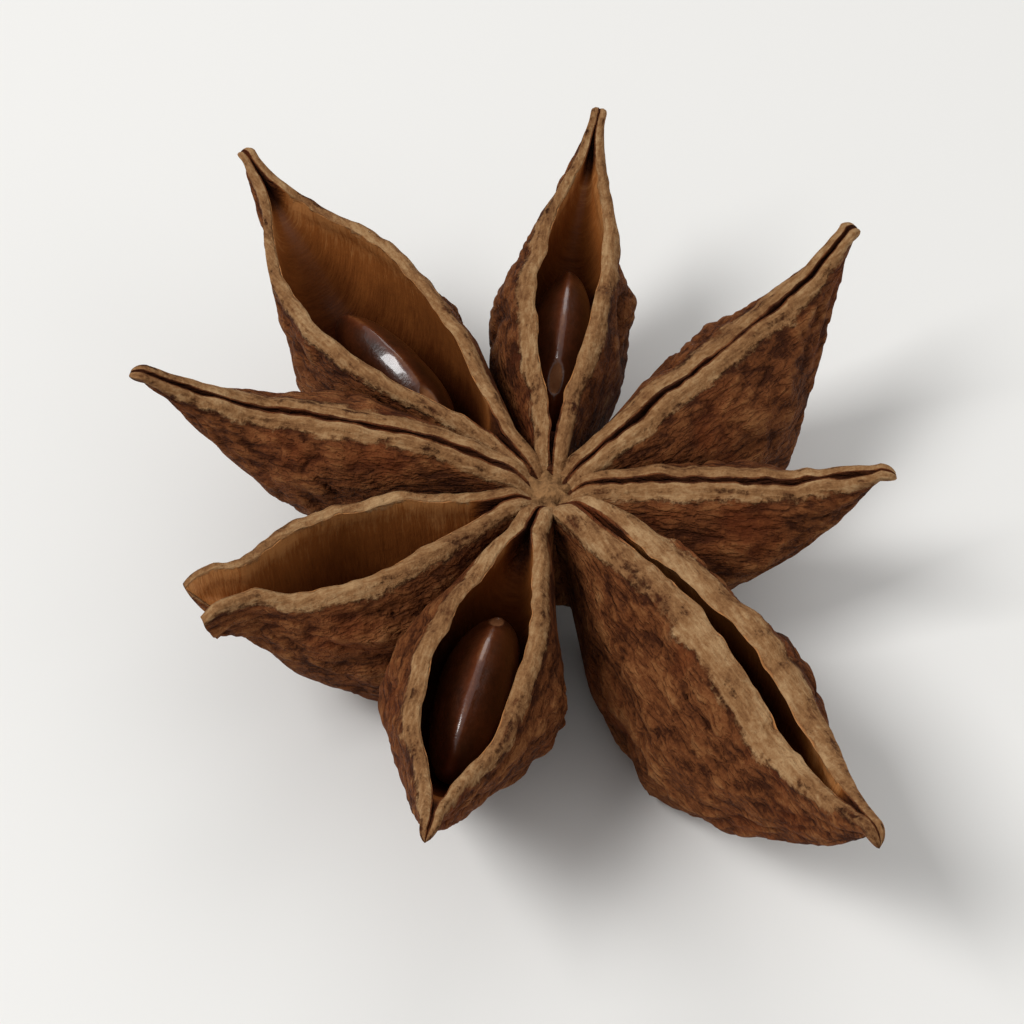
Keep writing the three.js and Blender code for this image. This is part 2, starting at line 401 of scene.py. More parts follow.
def welded(data: bpy.types.Mesh) -> bpy.types.Mesh:
    """Turns a mesh into triangles, closes up the slivers that a union leaves, and mends torn edges.

    Args:
        data: the mesh, which is changed.

    Returns:
        The same mesh.
    """
    work = bmesh.new()
    work.from_mesh(data)
    bmesh.ops.triangulate(work, faces=work.faces)
    for _ in range(REPAIRS):
        short = [edge for edge in work.edges if edge.calc_length() < SLIVER]
        if not short:
            break
        bmesh.ops.collapse(work, edges=short)
    for _ in range(REPAIRS):
        torn = [edge for edge in work.edges if len(edge.link_faces) != 2]
        if not torn:
            break
        loose = {face for edge in torn for vertex in edge.verts for face in vertex.link_faces}
        bmesh.ops.delete(work, geom=list(loose), context="FACES")
        rim = [edge for edge in work.edges if edge.is_boundary]
        filled = bmesh.ops.holes_fill(work, edges=rim, sides=0)["faces"]
        bmesh.ops.triangulate(work, faces=filled)
    work.to_mesh(data)
    work.free()
    return data


def outer_shell(data: bpy.types.Mesh) -> bpy.types.Mesh:
    """Keeps the largest connected skin, so that no sealed pocket or flap is left inside.

    Args:
        data: a triangle mesh of one or more closed skins. It is removed.

    Returns:
        A triangle mesh of the largest skin, with its point attributes.
    """
    triangles = read_triangles(data)
    sides = np.sort(triangles, axis=1)
    _, same, times = np.unique(sides, axis=0, return_inverse=True, return_counts=True)
    triangles = triangles[times[same.ravel()] == 1]
    label = np.arange(len(data.vertices))
    while True:
        lowest = label[triangles].min(axis=1)
        spread = label.copy()
        for corner in range(3):
            np.minimum.at(spread, triangles[:, corner], lowest)
        spread = spread[spread]
        if np.array_equal(spread, label):
            break
        label = spread
    names, sizes = np.unique(label[triangles[:, 0]], return_counts=True)
    kept = triangles[label[triangles[:, 0]] == names[np.argmax(sizes)]]
    used, renumbered = np.unique(kept, return_inverse=True)
    shell = bpy.data.meshes.new(data.name)
    shell.from_pydata(read_points(data)[used].tolist(), [], renumbered.reshape(-1, 3).tolist())
    for key in (*SHADER_FIELDS, MADE, SKIN_NUMBER):
        write_field(shell, key, "POINT", read_field(data, key)[used])
    bpy.data.meshes.remove(data)
    return shell


def tree_of(points: Array, chosen: Array) -> KDTree:
    """Makes a search tree.

    Args:
        points: all the points.
        chosen: the numbers of the points that it finds.

    Returns:
        The tree.
    """
    tree = KDTree(len(chosen))
    for i in chosen:
        tree.insert(points[i], int(i))
    tree.balance()
    return tree


def part_fields(data: bpy.types.Mesh) -> None:
    """Gives the shader attributes to face corners, so that no value runs on across a joint.

    A face belongs to the skin that its vertices had before the union. At a vertex that the union
    made, it takes the values of the nearest vertex of that skin.

    Args:
        data: the joined triangle mesh, with point attributes.
    """
    points, triangles = read_points(data), read_triangles(data)
    made = read_field(data, MADE)[:, 0] > MADE_LEAST
    skin = np.rint(read_field(data, SKIN_NUMBER)[:, 0]).astype(int)
    owner = np.where(made[triangles], skin[triangles], -1).max(axis=1)
    old = tree_of(points, np.flatnonzero(made))
    for face in np.flatnonzero(owner < 0):
        owner[face] = skin[old.find(points[triangles[face]].mean(axis=0))[1]]
    trees = {k: tree_of(points, np.flatnonzero(made & (skin == k))) for k in np.unique(owner)}
    source = triangles.copy()
    for face, corner in np.argwhere(~made[triangles]):
        source[face, corner] = trees[owner[face]].find(points[triangles[face, corner]])[1]
    for key in SHADER_FIELDS:
        values = read_field(data, key)[source.ravel()]
        data.attributes.remove(data.attributes[key])
        write_field(data, key, "CORNER", values)


# ---------------------------------------------------------------- arms

# Sizes and shapes that all the arms share, in millimetres. u is the place along an arm, from 0 at the
# axis to 1 at the tip, and a Rise is in shares of the length unless its line says otherwise.
SEAM_HEIGHT = 5.35
FIRST_U = 0.032
NEAR_TIP = Rise(0.7, 0.3)  # where the seam turns up and the lips grow thin
STEEPENING = 1.8  # the power of a curve that starts level and turns away

# The width and the depth. Past its greatest, each is part arc and part ogee.
WIDEST, DEEPEST = 0.56, 0.42
COLUMN_WIDTH = 0.62  # the share of the width at the column
COLUMN_SHALLOW = 0.42  # the share of the depth that is missing there
PAST_WIDEST, PAST_DEEPEST = Rise(WIDEST, 1 - WIDEST), Rise(DEEPEST, 1 - DEEPEST)
BEFORE_DEEPEST = Rise(DEEPEST, -DEEPEST)
WIDTH_OGEE, DEPTH_OGEE = Rise(-0.04, 0.4), Rise(-0.02, 0.56)  # counted from the greatest
WIDTH_OGEE_PART, DEPTH_OGEE_PART = 0.5, 0.4
KEEL_FULLNESS = 0.8  # less than 1 keeps the depth longer
BULGE = 0.16  # how much fuller a wall is towards its lip, and leaner towards its keel

# The seam.
SEAM_PEAK = 0.6  # where it stops rising
SEAM_WAVE = Ripple(0.11, 1.4, row=0.5, seed=0.0)
SEAM_DIP, DIP_END = 0.5, Rise(0.3, 0.9)  # at the column, in millimetres from the axis
WORN_DEPTH, WORN_PART, WORN_STEEPENING = 0.75, Rise(0.9, 0.1), 2.2  # at the end of split lips
RAKE, RAKED_PART, RAKE_BEND = 1.1, Rise(0.75, 0.25), 1.5  # how far the keel stays behind split lips

# The lips.
LIP, TIP_LIP = 0.45, 0.25
CREST, INNER_CREST = 0.12, 0.07  # how far its top and its inner edge stand over its outer edge
CREST_UP, CREST_DOWN = Rise(0.0, 0.4), Rise(0.3, 0.7)  # in shares of the way over it
KNOBS = (Ripple(0.06, 0.62, row=3.7, seed=40), Ripple(0.04, 0.3, row=9.1, seed=50))
RAGGED = (Ripple(0.09, 1.1, row=5.3, seed=60), Ripple(0.045, 0.42, row=7.7, seed=70))
NARROW_RAGGED = 0.4  # the share of its raggedness that a lip keeps where the arm is narrow
# How far down the outer and the inner wall show the lip's bends, and its inner edge, in millimetres.
OUTER_TRACE, INNER_TRACE, EDGE_TRACE = Rise(0.0, 0.9), Rise(0.0, 0.5), Rise(0.0, 0.3)
FLOOR_TRACE = Rise(0.0, 0.2)  # how near the floor they end, in shares of the hollow's wall

# The hollow and the slit.
WALL, KEEL_WALL = 0.62, 0.8  # how thick the arm is beside its hollow, and under it
HOLLOW_FROM, HOLLOW_OPEN, HOLLOW_NARROWS, HOLLOW_TO = 0.15, 0.36, 0.76, 0.95
HOLLOW_OPENING = Rise(HOLLOW_FROM, HOLLOW_OPEN - HOLLOW_FROM)
HOLLOW_CLOSING = Rise(HOLLOW_NARROWS, HOLLOW_TO - HOLLOW_NARROWS)
HOLLOW_LENGTH = Rise(HOLLOW_FROM, HOLLOW_TO - HOLLOW_FROM)
LENS_FULLNESS, LENS_END = 0.85, Rise(0.7, 0.3)  # of its opening, in shares of the hollow's length
LEDGE, LEDGE_UNDER = 0.09, Rise(0.4, 0.25)  # the wall's step back under its lip, in millimetres
FLOOR_BEND, NECK_BEND, BELLY_BEND = 1.2, 0.6, 0.9  # the powers that shape its section
LINING_GROWTH = 3  # how fast its lining begins as it opens
SLIT_DEPTH, SLIT_SHARE = 0.55, 0.6  # the most, and the most as a share of the arm's depth
# A slit's walls are painted dark, as painted shade in the narrow gap.
SLIT_PAINTED_SHADE = -0.7  # the relief in a slit, which makes it dark
SHUT_GAP = 0.07  # half a shut slit's width
HEALED_GAP, HEALED_SLIT = 0.7, 0.8  # the shares of width and depth that a slit loses where it heals
SLIT_OPENS, SLIT_HEALS = Rise(0.7, 1.2), Rise(0.93, 0.06)  # the first in millimetres from the axis

# The planes where an arm meets its neighbours.
FUSED = 0.14  # how far it reaches past them
PARTING = 0.3  # how far its hollow stays short of them
PRESS = 0.1  # how softly a wall bends as it comes up to them
FREE_SPAN, FREE_START = 0.7, 0.35  # how a wall's skin grows free with the room, and from what share
KEEL_PART = 0.3  # the share of the wall, up from the keel, where being pressed tells less

# The skin: large folds, creases in three sizes, puckers under the lip, dents, and a groove.
FOLD_HEIGHT, FOLD_LENGTH, FOLD_WIDTH, FOLD_SLANT = 0.2, 3.2, 1.5, 0.5
FOLD_FADE = Rise(0.0, 0.2)  # in shares of the wall, from the lip
SKIN = (
    Wrinkle(height=0.13, along=2.3, across=1.05, seed=3.0),
    Wrinkle(height=0.09, along=1.15, across=0.58, seed=5.0),
    Wrinkle(height=0.04, along=0.62, across=0.38, seed=7.0),
)
SKIN_RANGE = sum(wrinkle.height for wrinkle in SKIN)
PUCKER = Wrinkle(height=0.07, along=0.75, across=2.4, seed=9.0)
PUCKER_START, PUCKER_END = Rise(0.0, 0.35), Rise(1.2, 1.6)  # in millimetres below the lip
DENTS = Lumps(0.17, (0.3, 0.45, 0.45), 17.0)
GROOVE_DEPTH, GROOVE_AT, GROOVE_WIDTH = 0.07, 0.75, 0.3  # in millimetres, below the lip
SKIN_START = Rise(0.0, 0.5)  # in millimetres below the lip
NARROW_SKIN = 0.35  # the share of its relief that the skin keeps where the arm is narrow
LEAST_SCALE = 0.45  # how far the creases draw together there
HULL_SLOPE = 1.2  # how long the wall is for its depth
ARM_SPREAD = 31.0  # what keeps one arm's creases from its neighbour's

# How far out these have fully grown from nothing at the axis.
WAVE_GROWN, FOLD_GROWN, KNOB_GROWN, RAGGED_GROWN, SKIN_GROWN, LEAN_GROWN = (
    Rise(0.0, span) for span in (0.15, 0.2, 0.2, 0.25, 0.12, 0.4)
)


class Opening(Enum):
    """How an arm's seam has opened."""

    SHUT = "shut"
    SPLIT = "split along the seam"
    THROUGH = "split right through the beak"


@dataclass(frozen=True)
class Beak:
    """The end of an arm: the share of width and depth left there, its point, and half its opening."""

    share: float
    point: float
    gape: float


BEAKS = {
    Opening.SHUT: Beak(share=0.08, point=0.5, gape=0.0),
    Opening.SPLIT: Beak(share=0.08, point=0.5, gape=0.0),
    Opening.THROUGH: Beak(share=0.22, point=0.1, gape=0.5),
}


@dataclass(frozen=True)
class Arm:
    """One boat-shaped follicle, from the column's axis outwards. Sizes are in millimetres.

    In its methods, u holds the stations, as a column, and side is 1 for the left and -1 for the right.

    Attributes:
        angle: its direction, in degrees from +X, anticlockwise from above.
        length: from the axis to the tip.
        half: half the greatest width.
        depth: the greatest depth, from the seam to the keel.
        gape: half the widest opening between the lips.
        rise: how far the seam climbs to the widest part.
        hook: how far the beak turns up.
        bow: how far the middle bends to the left.
        lean: how much the seam leans over to the left of the keel, as a slope.
        opening: how the seam has opened.
        seeded: whether its seed is still there.
        lip: how thick its lips are, seen from above.
        late: how far out its widest opening lies: 1 for the middle of the hollow, more for further.
        rooms: half the angle to the neighbours on the left and right, in radians.
    """

    angle: float
    length: float
    half: float
    depth: float
    gape: float
    rise: float
    hook: float
    bow: float
    lean: float
    opening: Opening = Opening.SHUT
    seeded: bool = False
    lip: float = LIP
    late: float = 1.15
    rooms: Pair = (math.pi / 8, math.pi / 8)

    @property
    def beak(self) -> Beak:
        """The shape of its end."""
        return BEAKS[self.opening]

    @staticmethod
    def width_share(u: Array) -> Array:
        """How the width runs along an arm: full at the widest place, then less up to the beak.

        Args:
            u: the stations.

        Returns:
            The share of the greatest width at each.
        """
        ogee = 1 - WIDTH_OGEE.eased(u - WIDEST)
        outer = mix(1 - PAST_WIDEST.even(u) ** 2, ogee, WIDTH_OGEE_PART)
        inner = mix(COLUMN_WIDTH, 1, smooth(u / WIDEST))
        return mix(BEAKS[Opening.SHUT].share, 1, np.where(u < WIDEST, inner, outer))

    def depth_at(self, u: Array) -> Array:
        """The depth along the arm: shallow at the column, then deep, then less up to the beak.

        Args:
            u: the stations.

        Returns:
            The depth at each.
        """
        inner = 1 - COLUMN_SHALLOW * BEFORE_DEEPEST.even(u) ** STEEPENING
        arc = (1 - PAST_DEEPEST.even(u) ** 2) ** KEEL_FULLNESS
        ogee = 1 - DEPTH_OGEE.eased(u - DEEPEST)
        outer = mix(self.beak.share, 1, mix(arc, ogee, DEPTH_OGEE_PART))
        return self.depth * np.where(u < DEEPEST, inner, outer)

    def hollow_share(self, u: Array) -> Array:
        """How far the hollow has opened.

        Args:
            u: the stations.

        Returns:
            0 where the arm is solid, up to 1 where the hollow is full.
        """
        if self.opening is Opening.SHUT:
            return np.zeros_like(u)
        if self.opening is Opening.THROUGH:
            return HOLLOW_OPENING.eased(u)
        return HOLLOW_OPENING.eased(u) * (1 - HOLLOW_CLOSING.eased(u))

    def gape_at(self, u: Array) -> Array:
        """Half the opening between the lips.

        Args:
            u: the stations.

        Returns:
            Half the opening at each.
        """
        along = HOLLOW_LENGTH.even(u)
        lens = np.clip(np.sin(math.pi * along**self.late), 0, 1) ** LENS_FULLNESS
        eased = 1 - LENS_END.even(along) ** 2
        end = self.beak.gape * PAST_WIDEST.eased(u)
        return SHUT_GAP * (1 - HEALED_GAP * self.healed(u)) + np.maximum(self.gape * lens * eased, end)

    def healed(self, u: Array) -> Array:
        """How far the slit has grown together towards the beak, and at the column.

        Args:
            u: the stations.

        Returns:
            From 0 where it hasn't to 1.
        """
        at_column = 1 - SLIT_OPENS.eased(u * self.length)
        if self.opening is Opening.THROUGH:
            return at_column
        return np.maximum(at_column, SLIT_HEALS.eased(u))

    def lip_at(self, u: Array) -> Array:
        """How thick a lip is, seen from above."""
        return mix(self.lip, TIP_LIP, NEAR_TIP.eased(u))

    def seam_height(self, u: Array) -> Array:
        """The seam's height: it rises from the column, waves a little, and turns up at the beak.

        Args:
            u: the stations.

        Returns:
            The height at each.
        """
        along = u * self.length
        rise = self.rise * np.sin(np.clip(u / SEAM_PEAK, 0, 1) * (math.pi / 2))
        hook = self.hook * NEAR_TIP.even(u) ** STEEPENING
        wave = SEAM_WAVE.at(along, self.angle) * WAVE_GROWN.eased(u)
        dip = SEAM_DIP * (1 - DIP_END.eased(along))
        return SEAM_HEIGHT + rise + hook + wave - dip - self.worn_end(u)

    def worn_end(self, u: Array) -> Array:
        """How far the lips fall away at the end of an arm that is split right through."""
        worn = WORN_DEPTH if self.opening is Opening.THROUGH else 0.0
        return worn * WORN_PART.even(u) ** WORN_STEEPENING

    def limit(self, u: Array, side: int) -> Array:
        """The room for half the width on one side, up to where the arm meets its neighbour."""
        room = self.rooms[0] if side > 0 else self.rooms[1]
        return u * self.length * math.tan(room) + FUSED

    def half_width(self, u: Array, side: int) -> Array:
        """Half the outer width: the arm's own, no more than the room between its neighbours."""
        least = self.gape_at(u) + self.lip_at(u)
        return np.maximum(np.minimum(self.half * self.width_share(u), self.limit(u, side)), least)

    def free(self, u: Array, side: int) -> Array:
        """How free a wall is: 0 where it is pressed against its neighbour, 1 where it stands clear."""
        return smooth((self.limit(u, side) - self.half * self.width_share(u)) / FREE_SPAN + FREE_START)

    def fold_at(self, u: Array, side: int, share: Array) -> Array:
        """The large folds of the skin, which die away at the lips.

        Args:
            u: the stations.
            side: the wall's side.
            share: from 0 at the keel to 1 at the lip, as a row.

        Returns:
            How far they stand out.
        """
        along = u * self.length / FOLD_LENGTH
        across = share * self.depth / FOLD_WIDTH + along * FOLD_SLANT
        places = np.stack(np.broadcast_arrays(along, across), axis=-1)
        ridge = 1 - 2 * np.abs(value_noise(places, self.angle + side))
        grown = FOLD_HEIGHT * ridge * FOLD_FADE.eased(1 - share) * FOLD_GROWN.eased(u)
        return grown * self.width_share(u)

    def knobs(self, u: Array, side: int) -> Array:
        """The small lumps along a lip, in millimetres up."""
        lumps = sum(ripple.at(u * self.length, self.angle, side) for ripple in KNOBS)
        return lumps * KNOB_GROWN.eased(u)

    def ragged(self, u: Array, side: int) -> Array:
        """How far a lip stands out or in from its even line, in millimetres across."""
        bends = sum(ripple.at(u * self.length, self.angle, side) for ripple in RAGGED)
        return bends * RAGGED_GROWN.eased(u) * mix(NARROW_RAGGED, 1.0, self.width_share(u))

    def wrinkles(self, u: Array, across: Array, up: Array, from_lip: Array) -> tuple[Array, Array]:
        """The creases of the skin, which follow the hull and run together at the beak.

        Args:
            u: the stations.
            across: the wall's places across.
            up: the wall's heights.
            from_lip: how far each point lies below the lip.

        Returns:
            How far the skin stands out, and its relief from -1 to 1.
        """
        narrow = np.maximum(LEAST_SCALE, self.width_share(u))
        shallow = np.maximum(LEAST_SCALE, self.depth_at(u) / self.depth)
        along = np.broadcast_to(u * self.length, up.shape)
        hull = np.stack([along, across / narrow, (up - self.seam_height(u)) / shallow], axis=-1)
        hull = hull + ARM_SPREAD * self.angle
        creases = sum(wrinkle.at(hull) for wrinkle in SKIN)
        pucker = PUCKER.at(hull) * PUCKER_START.eased(from_lip) * (1 - PUCKER_END.eased(from_lip))
        groove = -GROOVE_DEPTH * np.exp(-(((from_lip - GROOVE_AT) / GROOVE_WIDTH) ** 2))
        fade = SKIN_START.eased(from_lip) * SKIN_GROWN.eased(u)
        fade = fade * mix(NARROW_SKIN, 1.0, self.width_share(u))
        return fade * (creases + pucker + DENTS.at(hull) + groove), (creases + pucker) / SKIN_RANGE

    def wall(self, u: Array, side: int, share: Array) -> Array:
        """Points of the outer wall.

        Args:
            u: the stations.
            side: the wall's side.
            share: from 0 at the keel to 1 at the lip, as a row.

        Returns:
            Stations by points by the channels of a section.
        """
        width, depth = self.half_width(u, side), self.depth_at(u)
        edge = np.minimum(width, self.gape_at(u) + self.lip_at(u))
        end = math.pi - np.arcsin(np.minimum(1, edge / width))
        turn = end * share
        fullness = 1 - BULGE * np.cos(turn)
        bulge = mix(fullness, fullness / (1 - BULGE * np.cos(end)), smooth(share))
        across = width * np.sin(turn) * bulge
        up = self.seam_height(u) - depth * (1 - (1 - np.cos(turn)) / (1 - np.cos(end)))
        from_lip = (1 - share) * depth * HULL_SLOPE
        stand, relief = self.wrinkles(u, side * across, up, from_lip)
        pressed = mix(self.free(u, side), 1, smooth(1 - share / KEEL_PART))
        offset = (self.fold_at(u, side, share) + stand) * pressed
        by_lip = 1 - OUTER_TRACE.eased(from_lip)
        across = across + offset * np.sin(turn) + self.ragged(u, side) * by_lip
        up = up - offset * np.cos(turn) + self.knobs(u, side) * by_lip
        rim = np.clip(1 - from_lip / RIM_REACH, 0, 1)
        return self.channels(u, side * across, up, rim, 0 * up, relief, share)

    def crest(self, u: Array, side: int, share: Array) -> Array:
        """Points over the rounded top of a lip.

        Args:
            u: the stations.
            side: the lip's side.
            share: from 0 at the outer edge to 1 at the inner, as a row.

        Returns:
            Stations by points by the channels of a section.
        """
        edge = np.minimum(self.half_width(u, side), self.gape_at(u) + self.lip_at(u))
        across = mix(edge, self.gape_at(u), share) + self.ragged(u, side)
        height = CREST * CREST_UP.eased(share) + (INNER_CREST - CREST) * CREST_DOWN.eased(share)
        up = self.seam_height(u) + self.knobs(u, side) + height * self.lip_at(u) / self.lip
        return self.channels(u, side * across, up, 1 + 0 * up, 0 * up, 2 * share - 1, 1 + 0 * up)

    def hollow(self, u: Array, side: int, share: Array) -> Array:
        """Points of the hollow.

        Args:
            u: the stations.
            side: the hollow's side.
            share: from 0 at the lip to 1 at the floor, as a row.

        Returns:
            Stations by points by the channels of a section.
        """
        gape, open_, turn = self.gape_at(u), self.hollow_share(u), share * math.pi / 2
        spare = np.maximum(0, self.half_width(u, side) - WALL - gape) * open_
        slit = np.minimum(SLIT_DEPTH, SLIT_SHARE * self.depth_at(u))
        slit = slit * (1 - HEALED_SLIT * self.healed(u))
        depth = mix(slit, np.maximum(slit, self.depth_at(u) - KEEL_WALL), open_)
        down = depth * np.sin(turn) ** FLOOR_BEND
        neck, belly = np.cos(turn).clip(0), np.sin(2 * turn).clip(0) ** BELLY_BEND
        ledge = LEDGE * LEDGE_UNDER.eased(down) * neck * open_
        by_lip = 1 - INNER_TRACE.eased(down)
        across = np.maximum(0, gape * neck**NECK_BEND + spare * belly + ledge)
        across = across + self.ragged(u, side) * by_lip * FLOOR_TRACE.eased(1 - share)
        edge = INNER_CREST * self.lip_at(u) / self.lip * (1 - EDGE_TRACE.eased(down))
        up = self.seam_height(u) - down + self.knobs(u, side) * by_lip + edge
        lined = smooth(LINING_GROWTH * open_) + 0 * down
        rim = lined * np.clip(1 - down / RIM_REACH, 0, 1)
        # This relief paints shade: dark walls in a shut slit, and a lining that darkens as it goes
        # deeper.
        relief = mix(SLIT_PAINTED_SHADE, -down / self.depth, lined)
        return self.channels(u, side * across, up, rim, lined, relief, 1 - share)

    def channels(self, u: Array, *values: Array) -> Array:
        """Stacks the values of points on a section.

        Args:
            u: the stations.
            values: across, up, rim, inner, relief and how near the lip a point is, from 0 to 1.

        Returns:
            Stations by points by along, across, up, rim, inner and relief.
        """
        across, up, rim, inner, relief, nearness = np.broadcast_arrays(*values)
        along = u * self.length + 0 * up
        if self.opening is Opening.THROUGH:
            along = along - RAKE * (1 - nearness) ** RAKE_BEND * RAKED_PART.eased(u)
        return np.stack([along, across, up, rim, inner, relief], axis=-1)

    def local(self, along: Array, across: Array, up: Array) -> Array:
        """Gives points the arm's bow and lean.

        Args:
            along: their places along the arm.
            across: their places across it.
            up: their heights.

        Returns:
            Points by along, across and up.
        """
        u = along / self.length
        bow = 4 * self.bow * u * (1 - u)
        lean = self.lean * (up - SEAM_HEIGHT) * LEAN_GROWN.eased(u)
        return np.stack([along, across + bow + lean, up], axis=-1)

    def pressed(self, points: Array, inside: Array) -> Array:
        """Flattens the arm against the planes where it meets its neighbours.

        Args:
            points: places along, across and up the arm.
            inside: which of them lie in the hollow, as a row.

        Returns:
            The places, held back from the planes.
        """
        along, across, up = np.moveaxis(points, -1, 0)
        own = np.maximum(self.gape_at(along / self.length), 0)
        for side, room in zip((1, -1), self.rooms):
            plane = along * math.tan(room)
            outer_place = soft_least(side * across, plane + FUSED, PRESS)
            inner_place = np.minimum(side * across, np.maximum(plane - PARTING, own))
            across = side * np.where(inside, inner_place, outer_place)
        return np.stack([along, across, up], axis=-1)

    def place(self, points: Array) -> Array:
        """Turns points into the part's frame.

        Args:
            points: places along, across and up the arm.

        Returns:
            The places as x, y and z.
        """
        turn = math.radians(self.angle)
        along, across, up = np.moveaxis(points, -1, 0)
        x = AXIS[0] + along * math.cos(turn) - across * math.sin(turn)
        y = AXIS[1] + along * math.sin(turn) + across * math.cos(turn)
        return np.stack([x, y, up], axis=-1)


def with_rooms(arms: Sequence[Arm]) -> list[Arm]:
    """Gives each arm half the angle to its neighbours.

    Args:
        arms: the arms, anticlockwise.

    Returns:
        The same arms with their rooms set.
    """
    pairs = zip(arms, [*arms[1:], arms[0]])
    rooms = [math.radians((after.angle - arm.angle) % 360) / 2 for arm, after in pairs]
    return [replace(arm, rooms=(rooms[i], rooms[i - 1])) for i, arm in enumerate(arms)]


ARMS = with_rooms([
    Arm(42, 12.8, 2.2, 6.5, 0, 0.95, 1.1, -0.25, 0.14),
    Arm(84, 13.6, 2.4, 6.1, 0.85, 1.0, 1.5, 0.25, -0.1, Opening.SPLIT, seeded=True),
    Arm(128, 15.2, 2.85, 6.75, 1.65, 1.15, 1.2, 0.35, 0.1, Opening.SPLIT, seeded=True),
    Arm(168, 12.0, 2.0, 5.9, 0, 1.4, 1.6, -0.4, 0.2),
    Arm(206, 11.2, 2.35, 6.4, 1.1, 0.75, 0.6, 0.2, -0.14, Opening.THROUGH),
    Arm(255, 13.4, 2.6, 6.3, 1.1, 1.1, 1.3, -0.3, 0.12, Opening.SPLIT, seeded=True),
    Arm(299, 15.7, 2.35, 6.8, 0.2, 1.2, 1.7, 1.0, 0.16, Opening.SPLIT, lip=0.78, late=1.7),
    Arm(356, 9.6, 1.75, 4.6, 0, 0.5, 0.9, 0.15, 0.12),
])


# ---------------------------------------------------------------- shaders

Operand = Union["Wire", float]
Key = Union[str, int]

# A screen's tone curve: a straight toe with its slope, then a power of the lifted share.
SCREEN_TOE, SCREEN_SLOPE, SCREEN_LIFT, SCREEN_POWER = 0.04045, 12.92, 0.055, 2.4


class Wire:
    """A value on its way through a material. Arithmetic on it adds Math nodes."""

    def __init__(self, graph: "Graph", socket: bpy.types.NodeSocket) -> None:
        """Wraps an output socket of the graph."""
        self.graph = graph
        self.socket = socket

    def _math(self, operation: str, first: Operand, second: Operand = 0.0) -> "Wire":
        """Adds one Math node."""
        return self.graph.add("ShaderNodeMath", {"operation": operation}, {0: first, 1: second})

    def __add__(self, other: Operand) -> "Wire":
        """self + other."""
        return self._math("ADD", self, other)

    def __radd__(self, other: float) -> "Wire":
        """other + self."""
        return self._math("ADD", other, self)

    def __sub__(self, other: Operand) -> "Wire":
        """self - other."""
        return self._math("SUBTRACT", self, other)

    def __rsub__(self, other: float) -> "Wire":
        """other - self."""
        return self._math("SUBTRACT", other, self)

    def __mul__(self, other: Operand) -> "Wire":
        """self * other."""
        return self._math("MULTIPLY", self, other)

    def __rmul__(self, other: float) -> "Wire":
        """other * self."""
        return self._math("MULTIPLY", other, self)

    def size(self) -> "Wire":
        """The value without its sign."""
        return self._math("ABSOLUTE", self)

    def clamped(self) -> "Wire":
        """The value held between 0 and 1."""
        return self.graph.add("ShaderNodeClamp", {}, {"Value": self})


def stirred(base: Operand, *noises: tuple[Wire, float]) -> Operand:
    """Moves a value up and down by noises.

    Args:
        base: the value.
        noises: each noise, from 0 to 1, with how far it moves the value over its whole range.

    Returns:
        The value with all the noises in it.
    """
    for noise, reach in noises:
        base = base + (noise - 0.5) * reach
    return base


def linear(colour: Colour) -> tuple[float, float, float, float]:
    """Turns a screen colour into the light that it stands for.

    Args:
        colour: red, green and blue, from 0 to 255.

    Returns:
        Their light from 0 to 1, and full alpha.
    """
    light = []
    for share in (c / 255 for c in colour):
        curved = ((share + SCREEN_LIFT) / (1 + SCREEN_LIFT)) ** SCREEN_POWER
        light.append(share / SCREEN_SLOPE if share <= SCREEN_TOE else curved)
    return (light[0], light[1], light[2], 1.0)


@dataclass(frozen=True)
class Pattern:
    """Cloudy noise.

    Attributes:
        scale: how many features it has in a millimetre.
        detail: how many finer sizes it has.
        rough: how strong these are.
        stretch: what the places are multiplied by first. Less draws the features out.
        shift: what is added to them then, which picks another field.
    """

    scale: float
    detail: float = 3.0
    rough: float = 0.55
    stretch: Optional[Triple] = None
    shift: Optional[Triple] = None


